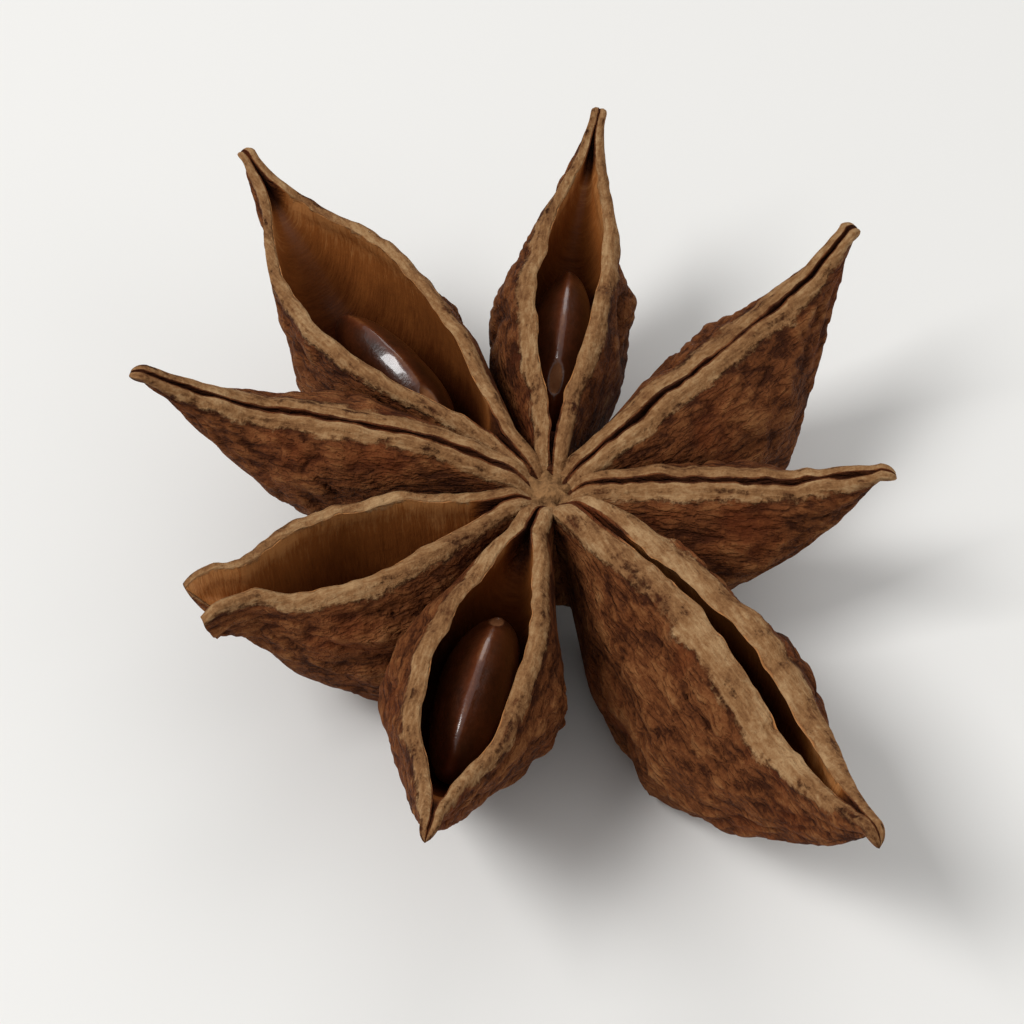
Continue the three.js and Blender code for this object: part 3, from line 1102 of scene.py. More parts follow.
class Graph:
    """The node tree of one material."""

    def __init__(self, name: str) -> None:
        """Starts an empty material.

        Args:
            name: the material's name.
        """
        self.material = bpy.data.materials.new(name)
        self.material.use_nodes = True
        self.tree = self.material.node_tree
        self.tree.nodes.clear()

    def node(
        self,
        kind: str,
        settings: Mapping[str, Any],
        sockets: Mapping[Key, Any],
    ) -> bpy.types.Node:
        """Adds one node.

        Args:
            kind: the node's type.
            settings: its settings, which are set first. stops are a ramp's places and screen colours.
            sockets: a value or a Wire for each input, by name or number.

        Returns:
            The node.
        """
        node = self.tree.nodes.new(kind)
        for key, value in settings.items():
            if key == "stops":
                self._set_stops(node.color_ramp, value)
            else:
                setattr(node, key, value)
        for key, value in sockets.items():
            socket = self._find(node.inputs, key)
            if isinstance(value, Wire):
                self.tree.links.new(value.socket, socket)
            else:
                socket.default_value = value
        return node

    def add(
        self,
        kind: str,
        settings: Mapping[str, Any],
        sockets: Mapping[Key, Any],
        output: Key = 0,
    ) -> Wire:
        """Adds one node and picks up one of its outputs, by name or number."""
        return Wire(self, self._find(self.node(kind, settings, sockets).outputs, output))

    @staticmethod
    def _find(sockets: Any, key: Key) -> bpy.types.NodeSocket:
        """Finds a socket.

        Args:
            sockets: a node's inputs or outputs.
            key: the socket's number, or its name among those in use.

        Returns:
            The socket.
        """
        if isinstance(key, int):
            return sockets[key]
        return next(s for s in sockets if s.name == key and s.enabled)

    @staticmethod
    def _set_stops(ramp: bpy.types.ColorRamp, stops: Sequence[tuple[float, Colour]]) -> None:
        """Gives a ramp its stops.

        Args:
            ramp: the ramp.
            stops: the places and screen colours.
        """
        while len(ramp.elements) < len(stops):
            ramp.elements.new(1.0)
        for element, (place, colour) in zip(ramp.elements, stops):
            element.position = place
            element.color = linear(colour)

    def field(self, name: str) -> Wire:
        """One of the mesh's attributes, as a number."""
        return self.add("ShaderNodeAttribute", {"attribute_name": name}, {}, "Fac")

    def vectors(self, name: str) -> Wire:
        """One of the mesh's attributes, as a vector."""
        return self.add("ShaderNodeAttribute", {"attribute_name": name}, {}, "Vector")

    def noise(self, vector: Wire, pattern: Pattern) -> Wire:
        """Cloudy noise from 0 to 1.

        Args:
            vector: the places, in millimetres.
            pattern: its sizes.

        Returns:
            The noise.
        """
        for operation, by in (("MULTIPLY", pattern.stretch), ("ADD", pattern.shift)):
            if by is not None:
                vector = self.add("ShaderNodeVectorMath", {"operation": operation}, {0: vector, 1: by})
        sockets = {
            "Vector": vector,
            "Scale": pattern.scale,
            "Detail": pattern.detail,
            "Roughness": pattern.rough,
        }
        return self.add("ShaderNodeTexNoise", {"noise_dimensions": "3D"}, sockets, "Fac")

    def creases(self, vector: Wire, pattern: Pattern, width: float) -> Wire:
        """Winding lines: 1 along each line, falling to 0 over its width."""
        return 1 - self.step((self.noise(vector, pattern) - 0.5).size(), 0.0, width)

    def ramp(self, value: Wire, *stops: tuple[float, Colour]) -> Wire:
        """A colour for each value, from the stops."""
        return self.add("ShaderNodeValToRGB", {"stops": stops}, {"Fac": value}, "Color")

    def blend(self, first: Wire, second: Union[Wire, Colour], factor: Wire) -> Wire:
        """Mixes a colour with another one.

        Args:
            first: the colour where the factor is 0.
            second: the colour where it is 1, which may be a screen colour.
            factor: the share of the second.

        Returns:
            The mixed colour.
        """
        other = second if isinstance(second, Wire) else linear(second)
        settings = {"data_type": "RGBA", "blend_type": "MIX"}
        return self.add("ShaderNodeMix", settings, {"Factor": factor, "A": first, "B": other}, "Result")

    def step(self, value: Wire, low: float, high: float) -> Wire:
        """A smooth step from 0 at low to 1 at high."""
        sockets = {"Value": value, "From Min": low, "From Max": high}
        return self.add("ShaderNodeMapRange", {"interpolation_type": "SMOOTHSTEP"}, sockets)

    def bump(self, height: Wire, distance: float) -> Wire:
        """A normal that follows a height, of distance metres for 1."""
        sockets = {"Strength": 1.0, "Distance": distance, "Height": height}
        return self.add("ShaderNodeBump", {}, sockets, "Normal")

    def finish(self, sockets: Mapping[str, Any]) -> bpy.types.Material:
        """Ends the material in a Principled shader.

        Args:
            sockets: values and Wires for the shader's inputs.

        Returns:
            The material.
        """
        shader = self.add("ShaderNodeBsdfPrincipled", {}, sockets)
        self.node("ShaderNodeOutputMaterial", {}, {"Surface": shader})
        return self.material


@dataclass(frozen=True)
class HuskFinish:
    """Dried woody husk: creased brown skin, pale lips, a smooth caramel lining and a fibrous stalk.

    Attributes:
        crackle_dark: how much darker a crack is than the skin, and crackle_deep how much lower.
        hairline_dark: how much darker a hairline is, and hairline_deep how much lower.
        lip_edge: the rims between which skin turns to lip.
        rust_edge: the noise between which rust sets in, and rust_share its strength.
        scurf_edge: the same for scurf, of which ridges hold more by scurf_on_ridges.
        lining_gloss: how much smoother the lining is than the skin.
        fine_relief: the height of the fine relief, in metres.
    """

    # The darkest skin colour is painted shade in the valleys; the ridge colour is partly wear and partly
    # painted light.
    valley_painted_shade: Colour = (60, 29, 13)
    skin: Colour = (106, 60, 31)
    ridge: Colour = (138, 90, 52)
    scurf: Colour = (158, 122, 82)
    rust: Colour = (112, 52, 22)
    lip_dark: Colour = (92, 56, 32)
    lip_mid: Colour = (138, 99, 63)
    lip_pale: Colour = (174, 139, 99)
    # The lining's deepest colour is painted shade deep in the hollow.
    lining_painted_shade: Colour = (90, 44, 18)
    lining: Colour = (146, 86, 40)
    lining_pale: Colour = (180, 122, 70)
    core_dark: Colour = (68, 41, 23)
    core_pale: Colour = (154, 114, 74)

    fibres: Pattern = Pattern(1.0, 5.0, 0.62, stretch=(0.8, 4.2, 4.2))
    threads: Pattern = Pattern(1.0, 3.0, 0.6, stretch=(1.6, 9.0, 9.0))
    ribs: Pattern = Pattern(1.0, 4.0, 0.7, stretch=(4.5, 0.5, 0.5))
    silk: Pattern = Pattern(1.0, 3.0, 0.65, stretch=(17.0, 1.6, 1.6))
    blotches: Pattern = Pattern(0.35)
    patches: Pattern = Pattern(0.9, 4.0, 0.65, shift=(7.0, 7.0, 7.0))
    pits: Pattern = Pattern(6.5, 4.0, 0.62)
    grit: Pattern = Pattern(15.0, 2.0, 0.6, shift=(3.0, 3.0, 3.0))
    crackle: Pattern = Pattern(1.9, 2.0, 0.5, stretch=(0.34, 1.0, 1.0))
    crackle_width: float = 0.1
    crackle_dark: float = 0.18
    crackle_deep: float = 0.4
    hairlines: Pattern = Pattern(5.0, 2.0, 0.5, stretch=(0.3, 1.0, 1.0))
    hairline_width: float = 0.08
    hairline_dark: float = 0.1
    hairline_deep: float = 0.25

    lip_edge: Pair = (0.77, 0.93)
    rust_edge: Pair = (0.5, 0.7)
    rust_share: float = 0.4
    scurf_edge: Pair = (0.68, 0.92)
    scurf_on_ridges: float = 0.35
    scurf_share: float = 0.26
    roughness: float = 0.76
    lining_gloss: float = 0.36
    lining_coat: float = 0.2
    coat_roughness: float = 0.3
    specular: float = 0.07
    fine_relief: float = 0.00013

    def material(self) -> bpy.types.Material:
        """Builds the material.

        Returns:
            The husk's material.
        """
        g = Graph("dried_husk")
        grain = g.vectors(GRAIN)
        rim, inner, core, relief = (g.field(name) for name in (RIM, INNER, CORE, RELIEF))
        outside = 1 - inner
        fibres, threads = g.noise(grain, self.fibres), g.noise(grain, self.threads)
        ribs, silk = g.noise(grain, self.ribs), g.noise(grain, self.silk)
        blotches, patches = g.noise(grain, self.blotches), g.noise(grain, self.patches)
        pits, grit = g.noise(grain, self.pits), g.noise(grain, self.grit)
        crackle = g.creases(grain, self.crackle, self.crackle_width)
        hairlines = g.creases(grain, self.hairlines, self.hairline_width)

        # The pale lip ends in a wandering edge.
        reach = stirred(rim, (fibres, 0.35), (patches, 0.6), (pits, 0.35))
        on_lip = g.step(reach + relief * outside * 0.1 - inner * 0.16, *self.lip_edge)

        # The skin is dark in its valleys as painted shade, and dark in its cracks; its ridges are paler,
        # partly as wear and partly as painted light, and scurfy.
        tone = stirred(0.42 + relief * 0.42, (fibres, 0.45), (pits, 0.5), (grit, 0.35))
        tone = tone - crackle * self.crackle_dark - hairlines * self.hairline_dark
        skin_stops = (0.08, self.valley_painted_shade), (0.38, self.skin), (0.7, self.ridge), (1.0, self.scurf)
        skin = g.ramp(tone.clamped(), *skin_stops)
        rusty = g.step(blotches, *self.rust_edge)
        skin = g.blend(skin, self.rust, rusty * self.rust_share)
        scurfy = g.step(patches + relief * self.scurf_on_ridges, *self.scurf_edge)
        skin = g.blend(skin, self.scurf, scurfy * self.scurf_share)

        # The lip is mottled and threaded, with painted shade in its creases, and paler towards its inner
        # edge.
        lip_tone = stirred(0.5, (threads, 0.9), (patches, 1.1), (pits, 0.5), (blotches, 0.9))
        lip_tone = stirred(lip_tone, (grit, 0.3))
        lip_stops = (0.12, self.lip_dark), (0.5, self.lip_mid), (0.9, self.lip_pale)
        lip = g.ramp((lip_tone + relief * 0.12).clamped(), *lip_stops)

        # The lining is darker the deeper it lies, as painted shade in the hollow, with fine ribs down
        # it.
        depth = stirred(relief * -1.5, (ribs, 0.6), (silk, 0.55), (patches, 0.45))
        lining_stops = (0.0, self.lining_pale), (0.22, self.lining), (0.9, self.lining_painted_shade)
        lining = g.ramp(depth.clamped(), *lining_stops)

        # The stalk and the column's dome are bare fibre, a little darker between their lumps as painted
        # shade.
        stem_tone = (fibres * 0.5 + pits * 0.5 + relief * 0.1 + rim * 0.14 - 0.12).clamped()
        stem = g.ramp(stem_tone, (0.3, self.core_dark), (0.62, self.core_pale))

        colour = g.blend(g.blend(g.blend(skin, lining, inner), lip, on_lip), stem, core)
        roughness = stirred(self.roughness - inner * self.lining_gloss + on_lip * 0.1, (pits, 0.3))

        # Each layer has its own fine relief: only the skin, off the lip, is cracked.
        bare = outside * (1 - on_lip)
        height = fibres * (0.5 - inner * 0.38) + pits * (0.6 - inner * 0.54) + grit * outside * 0.16
        height = height + threads * on_lip * 0.3 + (ribs * 0.25 + silk * 0.2) * inner
        height = height - crackle * bare * self.crackle_deep - hairlines * bare * self.hairline_deep
        return g.finish({
            "Base Color": colour,
            "Roughness": roughness.clamped(),
            "Normal": g.bump(height, self.fine_relief),
            "Coat Weight": inner * (1 - on_lip) * self.lining_coat,
            "Coat Roughness": self.coat_roughness,
            "Specular IOR Level": self.specular,
        })


@dataclass(frozen=True)
class SeedFinish:
    """A hard glossy seed: mottled chestnut, paler along its ridge and at the scar."""

    deep: Colour = (44, 19, 9)
    chestnut: Colour = (88, 42, 19)
    pale: Colour = (150, 98, 56)
    mottle: Pattern = Pattern(0.8, 4.0, 0.6)
    fine: Pattern = Pattern(7.0, 3.0, 0.6)
    fine_relief: float = 0.000015
    roughness: float = 0.24
    coat: float = 0.8
    coat_roughness: float = 0.06

    def material(self) -> bpy.types.Material:
        """Builds the material.

        Returns:
            The seeds' material.
        """
        g = Graph("glossy_seed")
        grain = g.vectors(GRAIN)
        mottle, fine, scar = g.noise(grain, self.mottle), g.noise(grain, self.fine), g.field(RIM)
        tone = stirred(g.field(RELIEF) * 0.4 + (mottle - 0.3) * 0.9, (fine, 0.35))
        body = g.ramp(tone.clamped(), (0.05, self.deep), (0.5, self.chestnut), (1.0, self.pale))
        return g.finish({
            "Base Color": g.blend(body, self.pale, scar),
            "Roughness": (self.roughness + fine * 0.14 + scar * 0.4).clamped(),
            "Normal": g.bump(fine, self.fine_relief),
            "Coat Weight": (1 - scar) * self.coat,
            "Coat Roughness": self.coat_roughness,
        })


@dataclass(frozen=True)
class FloorFinish:
    """A plain pale matte floor."""

    shade: Colour = (236, 235, 232)

    def material(self) -> bpy.types.Material:
        """Builds the floor's material."""
        sockets = {"Base Color": linear(self.shade), "Roughness": 1.0, "Specular IOR Level": 0.0}
        return Graph("pale_floor").finish(sockets)


# ---------------------------------------------------------------- the pod


def dressed(data: bpy.types.Mesh, name: str, material: bpy.types.Material) -> bpy.types.Object:
    """Makes a piece of a mesh and a material.

    Args:
        data: the piece's mesh.
        name: the piece's name.
        material: its material.

    Returns:
        The piece, linked to the scene.
    """
    data.materials.clear()
    data.materials.append(material)
    return placed(name, data)


@dataclass(frozen=True)
class ArmSkin:
    """How finely an arm's skin is drawn.

    Attributes:
        station_step: from one section to the next, in millimetres.
        wall_step: from one point of a wall to the next, in millimetres.
        wall_crowding: how much closer they are towards the lip.
        crest_points: the points on a lip's top.
        hollow_points: the points down one side of a hollow.
        slit_points: the points down one side of a slit.
        hollow_crowding: how much closer these are towards the lip.
        tip_rings: the rings of the rounded end.
        grain_spread: what keeps one arm's grain from the next one's, in millimetres.
    """

    station_step: float = 0.125
    wall_step: float = 0.168
    wall_crowding: float = 1.12
    crest_points: int = 5
    hollow_points: int = 15
    slit_points: int = 5
    hollow_crowding: float = 1.5
    tip_rings: int = 8
    grain_spread: float = 40.0

    def loft(self, arm: Arm, number: int) -> Loft:
        """The skin of one arm.

        Args:
            arm: the arm.
            number: its place in the row, which moves its grain away from its neighbours'.

        Returns:
            Its loft, in the part's frame.
        """
        u = np.linspace(FIRST_U, 1, round(arm.length / self.station_step))[:, None]
        wall_count = round(arm.depth / self.wall_step)
        up_wall = 1 - (1 - np.linspace(0, 1, wall_count)[None, :]) ** self.wall_crowding
        over = np.linspace(0, 1, self.crest_points + 2)[None, 1:-1]
        hollow_count = self.slit_points if arm.opening is Opening.SHUT else self.hollow_points
        down = np.linspace(0, 1, hollow_count)[None, :] ** self.hollow_crowding
        patches = [
            arm.wall(u, -1, up_wall[:, :0:-1]),
            arm.wall(u, 1, up_wall),
            arm.crest(u, 1, over),
            arm.hollow(u, 1, down[:, :-1]),
            arm.hollow(u, -1, down[:, ::-1]),
            arm.crest(u, -1, over[:, ::-1]),
        ]
        along, across, up, *shading = np.moveaxis(np.concatenate(patches, axis=1), -1, 0)
        inside = np.repeat([False, False, False, True, True, False], [p.shape[1] for p in patches])
        points = arm.pressed(arm.local(along, across, up), inside)
        tip = self._end_point(arm, 1.0)
        rounding = np.linspace(0, 1, self.tip_rings + 2)[1:-1, None, None]
        tip_out = np.array([arm.beak.point, 0.0, 0.0])
        tips = tip + (points[-1:] - tip) * np.sqrt(1 - rounding**2) + rounding * tip_out
        rings = np.concatenate([points, tips])
        ends = np.stack([self._end_point(arm, FIRST_U), tip + tip_out])
        fields = {}
        for key, values in zip((RIM, INNER, RELIEF), shading):
            fields[key] = np.concatenate([values, np.repeat(values[-1:], self.tip_rings, axis=0)])
        fields[CORE] = np.zeros(rings.shape[:2])
        fields[GRAIN] = rings + self.grain_spread * number
        return Loft(arm.place(rings), arm.place(ends), fields)

    @staticmethod
    def _end_point(arm: Arm, u: float) -> Array:
        """The middle of an end section, below its slit.

        Args:
            arm: the arm.
            u: the section's place along it.

        Returns:
            The point along, across and up the arm.
        """
        at = np.array([[u]])
        down = 0.5 * (1 + SLIT_SHARE) * arm.depth_at(at)
        rake = RAKE if u == 1.0 and arm.opening is Opening.THROUGH else 0.0
        return arm.local(at * arm.length - rake, np.zeros_like(at), arm.seam_height(at) - down)[0, 0]


def off_arms(out: Array, arms: Sequence[Arm]) -> Array:
    """How far round from each arm's middle points lie.

    Args:
        out: the points' x and y from the axis.
        arms: the arms.

    Returns:
        Arms by points, in radians from -pi to pi.
    """
    facing = np.arctan2(out[..., 1], out[..., 0])
    return np.stack([np.angle(np.exp(1j * (facing - math.radians(arm.angle)))) for arm in arms])


@dataclass(frozen=True)
class Turned:
    """A lumpy woody piece round the column's axis. Sizes are in millimetres.

    Attributes:
        seed: picks its lumps.
        pale: how pale its bark is, from 0 to 1.
        sides: the points of a ring.
        bark: its lumps.
        bark_range: how high they reach together.
        bark_drawn: less than 1 for an axis that they are drawn out along.
        bark_least: the radius below which they grow smaller.
        sideways: how far a middle that is moved along +X goes along +Y, as a slope.
        grain_spread: what keeps its grain from the arms'.
    """

    seed: float = 0.0
    pale: float = 0.0
    sides: int = 96
    bark: tuple[Lumps, ...] = (Lumps(0.12, (1.6, 1.6, 1.6)), Lumps(0.06, (4.2, 4.2, 4.2), 5.0))
    bark_range: float = 0.18
    bark_drawn: Triple = (1.0, 1.0, 0.4)
    bark_least: float = 0.6
    sideways: float = 0.4
    grain_spread: float = 400.0

    def turned(self, radii: Array, heights: Array, shift: Amount = 0.0) -> Loft:
        """Turns rings into a lumpy skin.

        Args:
            radii: the radius of each ring, from the top down.
            heights: the height of each ring.
            shift: how far each ring's middle is moved along +X.

        Returns:
            Its loft, in the part's frame.
        """
        turn = np.linspace(0, -2 * math.pi, self.sides, endpoint=False)[None, :]
        moved = shift + 0 * radii
        centre = np.stack([AXIS[0] + moved, AXIS[1] + self.sideways * moved, heights], axis=-1)
        ring = np.stack([np.cos(turn), np.sin(turn), np.zeros_like(turn)], axis=-1)
        base = centre[:, None, :] + ring * radii[:, None, None]
        lumps = sum(lump.at(base * np.array(self.bark_drawn), self.seed) for lump in self.bark)
        points = base + ring * (lumps * smooth(radii[:, None] / self.bark_least))[..., None]
        fields = {
            RIM: self.pale + 0 * lumps,
            INNER: 0 * lumps,
            RELIEF: lumps / self.bark_range,
            CORE: 1 + 0 * lumps,
            GRAIN: points[..., [2, 0, 1]] + self.grain_spread + self.seed,
        }
        return Loft(points, np.stack([centre[0], centre[-1]]), fields)


@dataclass(frozen=True)
class Column(Turned):
    """The column between the arms, with a knobbly dome that is creased towards each arm.

    Attributes:
        flare: how much wider its bottom is, as a share.
        shoulder: the height where the dome starts, and crown that of its top.
        first_turn: where the dome's first ring lies, in radians from its crown.
        fibrous: the heights over which husk skin gives way to bare fibre.
        crease_from: the distance from the axis where a crease is fully deep.
        fading: how soon the creases and knobs give out down the dome. Less is later.
    """

    seed: float = 2.0
    pale: float = 1.0
    radius: float = 1.2
    flare: float = 0.3
    bottom: float = 1.6
    shoulder: float = 4.7
    crown: float = 5.45
    first_turn: float = 0.1
    dome_rings: int = 16
    shaft_rings: int = 12
    fibrous: Rise = Rise(4.4, 0.3)
    crease_depth: float = 0.25
    crease_width: float = 0.14
    crease_from: float = 0.6
    fading: float = 0.5
    knobs: tuple[Lumps, ...] = (
        Lumps(0.14, (1.5, 1.5, 1.5), 33.0),
        Lumps(0.07, (4.0, 4.0, 4.0), 34.0),
    )

    def loft(self, arms: Sequence[Arm]) -> Loft:
        """The skin of the column.

        Args:
            arms: the arms that it stands between.

        Returns:
            Its loft, in the part's frame.
        """
        turn = np.linspace(self.first_turn, math.pi / 2, self.dome_rings)
        down = np.linspace(0, 1, self.shaft_rings)[1:]
        radii = self.radius * np.concatenate([np.sin(turn), 1 + self.flare * down])
        dome = mix(self.crown, self.shoulder, 1 - np.cos(turn))
        heights = np.concatenate([dome, mix(self.shoulder, self.bottom, down)])
        loft = self.turned(radii, heights)
        for key in (CORE, RIM):
            loft.fields[key] = self.fibrous.eased(heights)[:, None] * loft.fields[key]
        crown = loft.rings[: self.dome_rings]
        out = crown[..., :2] - np.array(AXIS)
        reach = np.hypot(out[..., 0], out[..., 1])
        on_top = np.cos(turn)[:, None] ** self.fading
        for away in off_arms(out, arms):
            crease = self.crease_depth * np.exp(-((away * reach / self.crease_width) ** 2))
            crown[..., 2] -= crease * smooth(reach / self.crease_from) * on_top
        crown[..., 2] += sum(knobs.at(crown) for knobs in self.knobs) * on_top**2
        return loft


@dataclass(frozen=True)
class Receptacle(Turned):
    """The receptacle under the arms, which is drawn in between them.

    Attributes:
        places: how far down its radius is given, as shares of its height.
        shares: the radius at those places, as shares of its greatest.
        web_depth: how far it is drawn in between two arms, as a share.
        web_turn: the angle from an arm to the middle between two, in radians.
    """

    seed: float = 12.0
    radius: float = 2.3
    top: float = 3.2
    bottom: float = 1.5
    places: tuple[float, ...] = (0, 0.25, 0.6, 0.9, 1)
    shares: tuple[float, ...] = (0.8, 0.95, 1.0, 0.75, 0.5)
    rings: int = 20
    web_depth: float = 0.36
    web_turn: float = math.pi / 8

    def loft(self, arms: Sequence[Arm]) -> Loft:
        """The skin of the receptacle.

        Args:
            arms: the arms that stand on it.

        Returns:
            Its loft, in the part's frame.
        """
        t = np.linspace(0, 1, self.rings)
        radii = self.radius * np.interp(t, self.places, self.shares)
        loft = self.turned(radii, mix(self.top, self.bottom, t))
        out = loft.rings[..., :2] - np.array(AXIS)
        between = smooth(np.min(np.abs(off_arms(out, arms)), axis=0) / self.web_turn)
        loft.rings[..., :2] = np.array(AXIS) + out * (1 - self.web_depth * between)[..., None]
        loft.fields[CORE] = 0 * loft.fields[CORE]
        return loft


@dataclass(frozen=True)
class Stalk(Turned):
    """The stub of the stalk, which leans and widens to the scar where it broke.

    Attributes:
        swell: how much thicker it starts, as a share, and swell_end where that ends.
        lean: how far its end stands off the axis.
        flare: where it widens to the scar.
        closed: how far the scar's rings close up, as a share.
        dish: how deep the scar is hollowed, and dish_end where the hollow is level.
        pith: how far its middle stands out of the hollow, and pith_part where.
    """

    seed: float = 22.0
    radius: float = 0.72
    top: float = 2.15
    end: float = 0.5
    swell: float = 0.25
    swell_end: float = 0.4
    lean: float = 0.5
    side_rings: int = 30
    scar_rings: int = 11
    scar_radius: float = 0.95
    flare: Rise = Rise(0.7, 0.3)
    closed: float = 0.93
    dish: float = 0.16
    dish_end: float = 0.45
    pith: float = 0.12
    pith_part: Rise = Rise(0.6, 0.4)

    def loft(self) -> Loft:
        """The skin of the stalk.

        Returns:
            Its loft, in the part's frame.
        """
        t = np.linspace(0, 1, self.side_rings)
        widening = (self.scar_radius - self.radius) * self.flare.eased(t)
        side = self.radius * (1 + self.swell * smooth(1 - t / self.swell_end)) + widening
        inward = np.linspace(0, 1, self.scar_rings)[1:]
        face = self.scar_radius * (1 - self.closed * inward)
        hollowed = self.dish * smooth(inward / self.dish_end) - self.pith * self.pith_part.eased(inward)
        heights = np.concatenate([mix(self.top, self.end, t), self.end + hollowed])
        shift = self.lean * smooth(np.concatenate([t, 1 + 0 * inward]))
        return self.turned(np.concatenate([side, face]), heights, shift)


@dataclass
class Husk:
    """The eight arms, their column, the receptacle and the stub of the stalk, as one closed skin.

    Attributes:
        sharp: the sharpest edge that is still shaded smooth, in degrees.
    """

    arms: Sequence[Arm]
    arm_skin: ArmSkin = ArmSkin()
    column: Column = Column()
    receptacle: Receptacle = Receptacle()
    stalk: Stalk = Stalk()
    sharp: float = 58.0

    def build(self, finish: HuskFinish) -> bpy.types.Object:
        """Joins all the skins, flattens the worn spots that it rests on, and dresses it.

        Args:
            finish: its finish.

        Returns:
            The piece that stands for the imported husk.
        """
        lofts = [self.column.loft(self.arms), self.receptacle.loft(self.arms), self.stalk.loft()]
        lofts += [self.arm_skin.loft(arm, i) for i, arm in enumerate(self.arms)]
        data = joined([loft.mesh(f"skin_{i}", i) for i, loft in enumerate(lofts)])
        data = outer_shell(welded(data))
        part_fields(data)
        points = read_points(data)
        points[:, 2] = np.maximum(points[:, 2], 0.0)
        data.vertices.foreach_set("co", points.astype(np.float32).ravel())
        data.update()
        data.shade_smooth()
        data.set_sharp_from_angle(angle=math.radians(self.sharp))
        piece = dressed(data, "husk_skin", finish.material())
        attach(piece, BODY)
        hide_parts("husk")
        return piece


@dataclass
class Seed:
    """A flattened bean that stands on its edge on the floor of an arm's hollow. Millimetres.

    Attributes:
        arm: the arm that it lies in.
        name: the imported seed's name.
        at: its middle's place along the arm, as a share.
        rise: how much higher its outer end lies than its inner.
        blunt: how much fuller its inner end is than its outer, as a share.
        gap: how far it stays off the floor.
        felt: the places where its distance from the floor is measured, as shares of its length.
        ends: the places of its two closing points, in the same way.
        ridge_from: how far up its side the ridge has risen, as a share of its height.
        scar_at: the scar's place along its top, as a share of its length.
        scar_edge: how the scar ends, by the square of the distance in shares of its half.
        least_ring: the radius below which relief near its ends grows smaller.
    """

    arm: Arm
    name: str
    length: float = 5.8
    height: float = 3.9
    thickness: float = 2.25
    at: float = 0.51
    rise: float = 0.75
    blunt: float = 0.3
    gap: float = 0.12
    felt: tuple[float, ...] = (-0.4, -0.3, -0.2, -0.1, 0.0, 0.1, 0.2, 0.3, 0.4)
    ends: Pair = (-0.495, 0.498)
    ridge_height: float = 0.07
    ridge_width: float = 0.16
    ridge_from: float = 0.08
    scar_length: float = 0.75
    scar_width: float = 0.36
    scar_depth: float = 0.09
    scar_at: float = -0.36
    scar_edge: Rise = Rise(0.5, 0.8)
    scar_spread: float = 1.4
    least_ring: float = 0.05
    dents: tuple[Lumps, ...] = (
        Lumps(0.05, (0.5, 0.8, 0.6), 60.0),
        Lumps(0.012, (2.2, 2.2, 2.2), 70.0),
    )
    grain_spread: float = 20.0
    rings: int = 96
    sides: int = 96

    def _lift(self) -> float:
        """The height of its middle when it rests on the hollow's floor.

        Returns:
            The height over the part's frame.
        """
        x = np.array(self.felt)
        u = self.at + x * self.length / self.arm.length
        floor = self.arm.hollow(u[:, None], 1, np.array([[1.0]]))[:, 0, 2]
        half = self.height / 2 * np.sqrt(1 - 4 * x * x) * (1 - self.blunt * x)
        return float(np.max(floor + self.gap + half - self.rise * x))

    def _shaped(self, x: Array, across: Array, up: Array) -> Array:
        """Gives points of a ball of width 1 the bean's shape and place.

        Args:
            x: their places along the ball.
            across: their places across it.
            up: their heights.

        Returns:
            Points along, across and up the arm.
        """
        blunt = 1 - self.blunt * x
        u = self.at + x * self.length / self.arm.length
        height = self._lift() + self.rise * x + up * self.height * blunt
        return self.arm.local(u * self.arm.length, across * self.thickness * blunt, height)

    def build(self, finish: SeedFinish) -> bpy.types.Object:
        """Makes and dresses the seed.

        Args:
            finish: its finish.

        Returns:
            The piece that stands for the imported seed.
        """
        polar = np.linspace(0, math.pi, self.rings + 2)[1:-1, None]
        turn = np.linspace(0, 2 * math.pi, self.sides, endpoint=False)[None, :]
        x = -0.5 * np.cos(polar) * np.ones_like(turn)
        ring = 0.5 * np.sin(polar)
        across, up = ring * np.cos(turn), ring * np.sin(turn)
        points = self._shaped(x, across, up)
        off_ridge = np.abs(across) * self.thickness
        ridge = np.exp(-((off_ridge / self.ridge_width) ** 2)) * smooth(up / self.ridge_from)
        along_scar = (x - self.scar_at) * self.length / (self.scar_length / 2)
        spot = along_scar**2 + (off_ridge / (self.scar_width / 2)) ** 2
        scar = (1 - self.scar_edge.eased(spot)) * (up > 0)
        out = np.stack([0 * up, across, up], axis=-1) / np.maximum(ring, self.least_ring)[..., None]
        stand = self.ridge_height * ridge * (1 - scar) - self.scar_depth * scar
        for dent in self.dents:
            stand = stand + dent.at(points, self.arm.angle)
        points = points + out * stand[..., None]
        ends = self._shaped(np.array(self.ends), np.zeros(2), np.zeros(2))
        fields = {
            RIM: smooth(scar * self.scar_spread),
            INNER: np.zeros_like(x),
            RELIEF: ridge,
            CORE: np.zeros_like(x),
            GRAIN: points + self.grain_spread * self.arm.angle,
        }
        data = Loft(self.arm.place(points), self.arm.place(ends), fields).mesh(self.name + "_kernel")
        data.shade_smooth()
        piece = dressed(data, self.name + "_kernel", finish.material())
        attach(piece, BODY)
        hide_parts(self.name)
        return piece


# ---------------------------------------------------------------- the stage


def aimed(direction: Vector) -> Euler:
    """How a lamp or a camera is turned when it looks along a direction."""
    return direction.to_track_quat("-Z", "Y").to_euler()


@dataclass(frozen=True)
class Lamp:
    """A soft lamp: where it stands, in metres, how wide it is, and its power in watts."""

    name: str
    place: Triple
    width: float
    power: float

    def light(self, target: Vector) -> None:
        """Sets the lamp up.

        Args:
            target: the point that it shines on.
        """
        data = bpy.data.lights.new(self.name, "AREA")
        data.energy = self.power
        data.size = self.width
        holder = placed(self.name, data)
        holder.location = self.place
        holder.rotation_euler = aimed(target - holder.location)


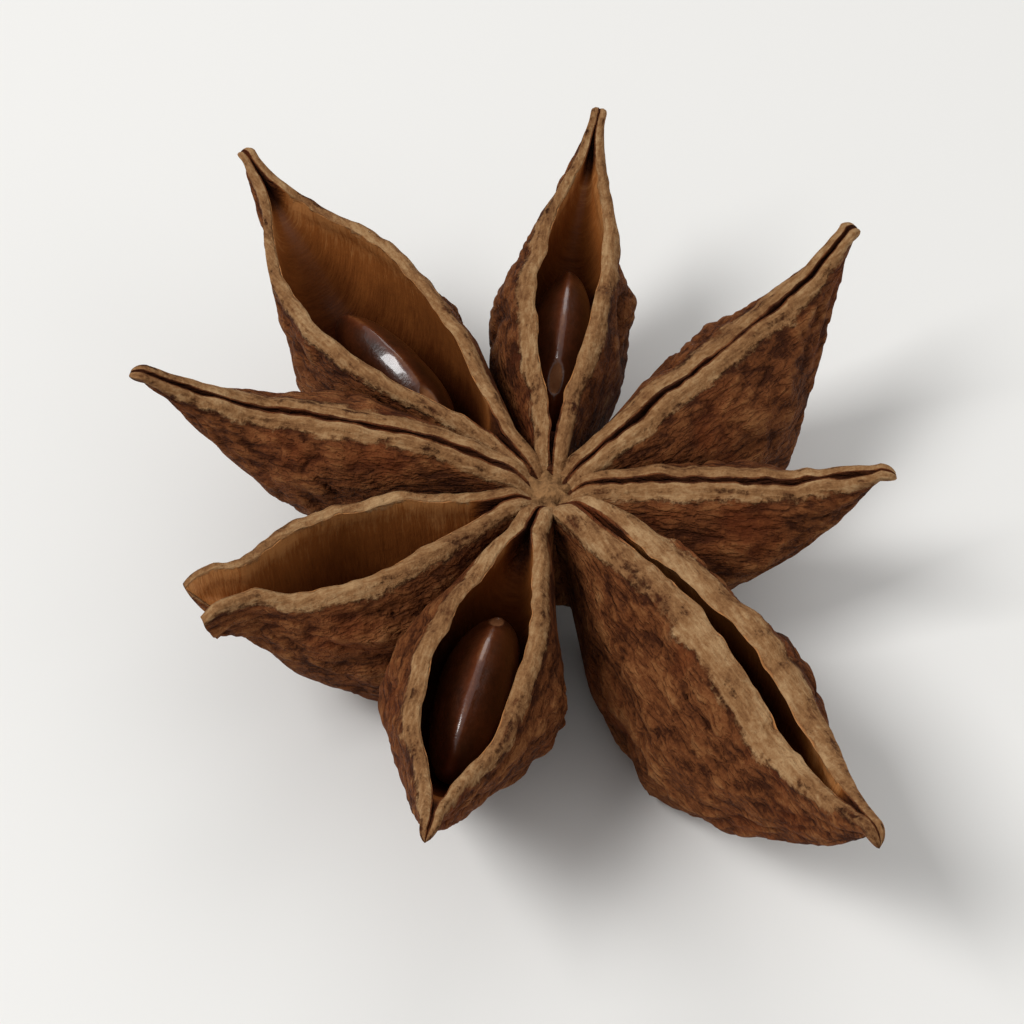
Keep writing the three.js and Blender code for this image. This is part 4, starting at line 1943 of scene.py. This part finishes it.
@dataclass
class Studio:
    """The floor, the soft lights and the camera. Angles are in degrees, and sizes in metres.

    Attributes:
        lens: the camera's focal length, in millimetres, and sensor its width.
        fill: how much of the view the pod fills.
        floor_gap: how far the floor lies under the pod.
        clip: the nearest and the furthest that the camera sees, in distances to the pod.
        ambient: the strength of the room's soft light.
    """

    elevation: float = 51.0
    azimuth: float = 0.0
    lens: float = 90.0
    sensor: float = 36.0
    fill: float = 0.88
    clip: Pair = (0.02, 60.0)
    floor_width: float = 3.0
    floor_gap: float = 0.00002
    lamps: tuple[Lamp, ...] = (
        Lamp("key", (-0.17, -0.05, 0.24), 0.12, 0.56),
        Lamp("side", (0.26, -0.12, 0.14), 0.2, 0.12),
        Lamp("back", (0.05, 0.26, 0.2), 0.2, 0.2),
    )
    ambient: float = 0.42

    def lay_floor(self, finish: FloorFinish) -> None:
        """Lays the floor just under the pod.

        Args:
            finish: its finish.
        """
        half = self.floor_width / 2
        square = ((-half, -half), (half, -half), (half, half), (-half, half))
        data = bpy.data.meshes.new("floor")
        data.from_pydata([(x, y, -self.floor_gap) for x, y in square], [], [(0, 1, 2, 3)])
        dressed(data, "floor", finish.material())

    def light(self, target: Vector) -> None:
        """Sets the lamps round a point, and the soft light of the room.

        Args:
            target: the point.
        """
        for lamp in self.lamps:
            lamp.light(target)
        world = bpy.data.worlds.new("room")
        world.use_nodes = True
        backdrop = world.node_tree.nodes["Background"]
        backdrop.inputs["Color"].default_value = (1.0, 1.0, 1.0, 1.0)
        backdrop.inputs["Strength"].default_value = self.ambient
        bpy.context.scene.world = world
        bpy.context.scene.view_settings.view_transform = "Standard"

    def aim(self, low: Vector, high: Vector) -> None:
        """Points the camera down at the pod, so that the pod fills its share of the view.

        Args:
            low: the least corner of the pod's box.
            high: its greatest corner.
        """
        azimuth, elevation = math.radians(self.azimuth), math.radians(self.elevation)
        flat = math.cos(elevation)
        back = Vector((math.sin(azimuth) * flat, -math.cos(azimuth) * flat, math.sin(elevation)))
        tangent = self.sensor / 2 / self.lens
        reach = max((high - low).x, (high - low).y * math.sin(elevation) + (high - low).z * flat)
        distance = reach / 2 / (tangent * self.fill)
        data = bpy.data.cameras.new("camera")
        data.lens, data.sensor_width = self.lens, self.sensor
        data.clip_start, data.clip_end = (distance * share for share in self.clip)
        camera = placed("camera", data)
        camera.location = (low + high) / 2 + back * distance
        camera.rotation_euler = aimed(-back)
        bpy.context.scene.camera = camera


def main() -> None:
    """Builds the pod and its stage."""
    logging.basicConfig(level=logging.INFO, format="%(name)s: %(message)s")
    low, high = CAD_BOX
    studio = Studio()
    studio.aim(low, high)
    studio.light((low + high) / 2)
    studio.lay_floor(FloorFinish())

    husk = Husk(ARMS).build(HuskFinish())
    LOG.info("%s: %d faces", husk.name, len(husk.data.polygons))
    for i, arm in enumerate(arm for arm in ARMS if arm.seeded):
        seed = Seed(arm, f"seed_{i + 1}").build(SeedFinish())
        LOG.info("%s: %d faces", seed.name, len(seed.data.polygons))


if __name__ == "__main__":
    main()
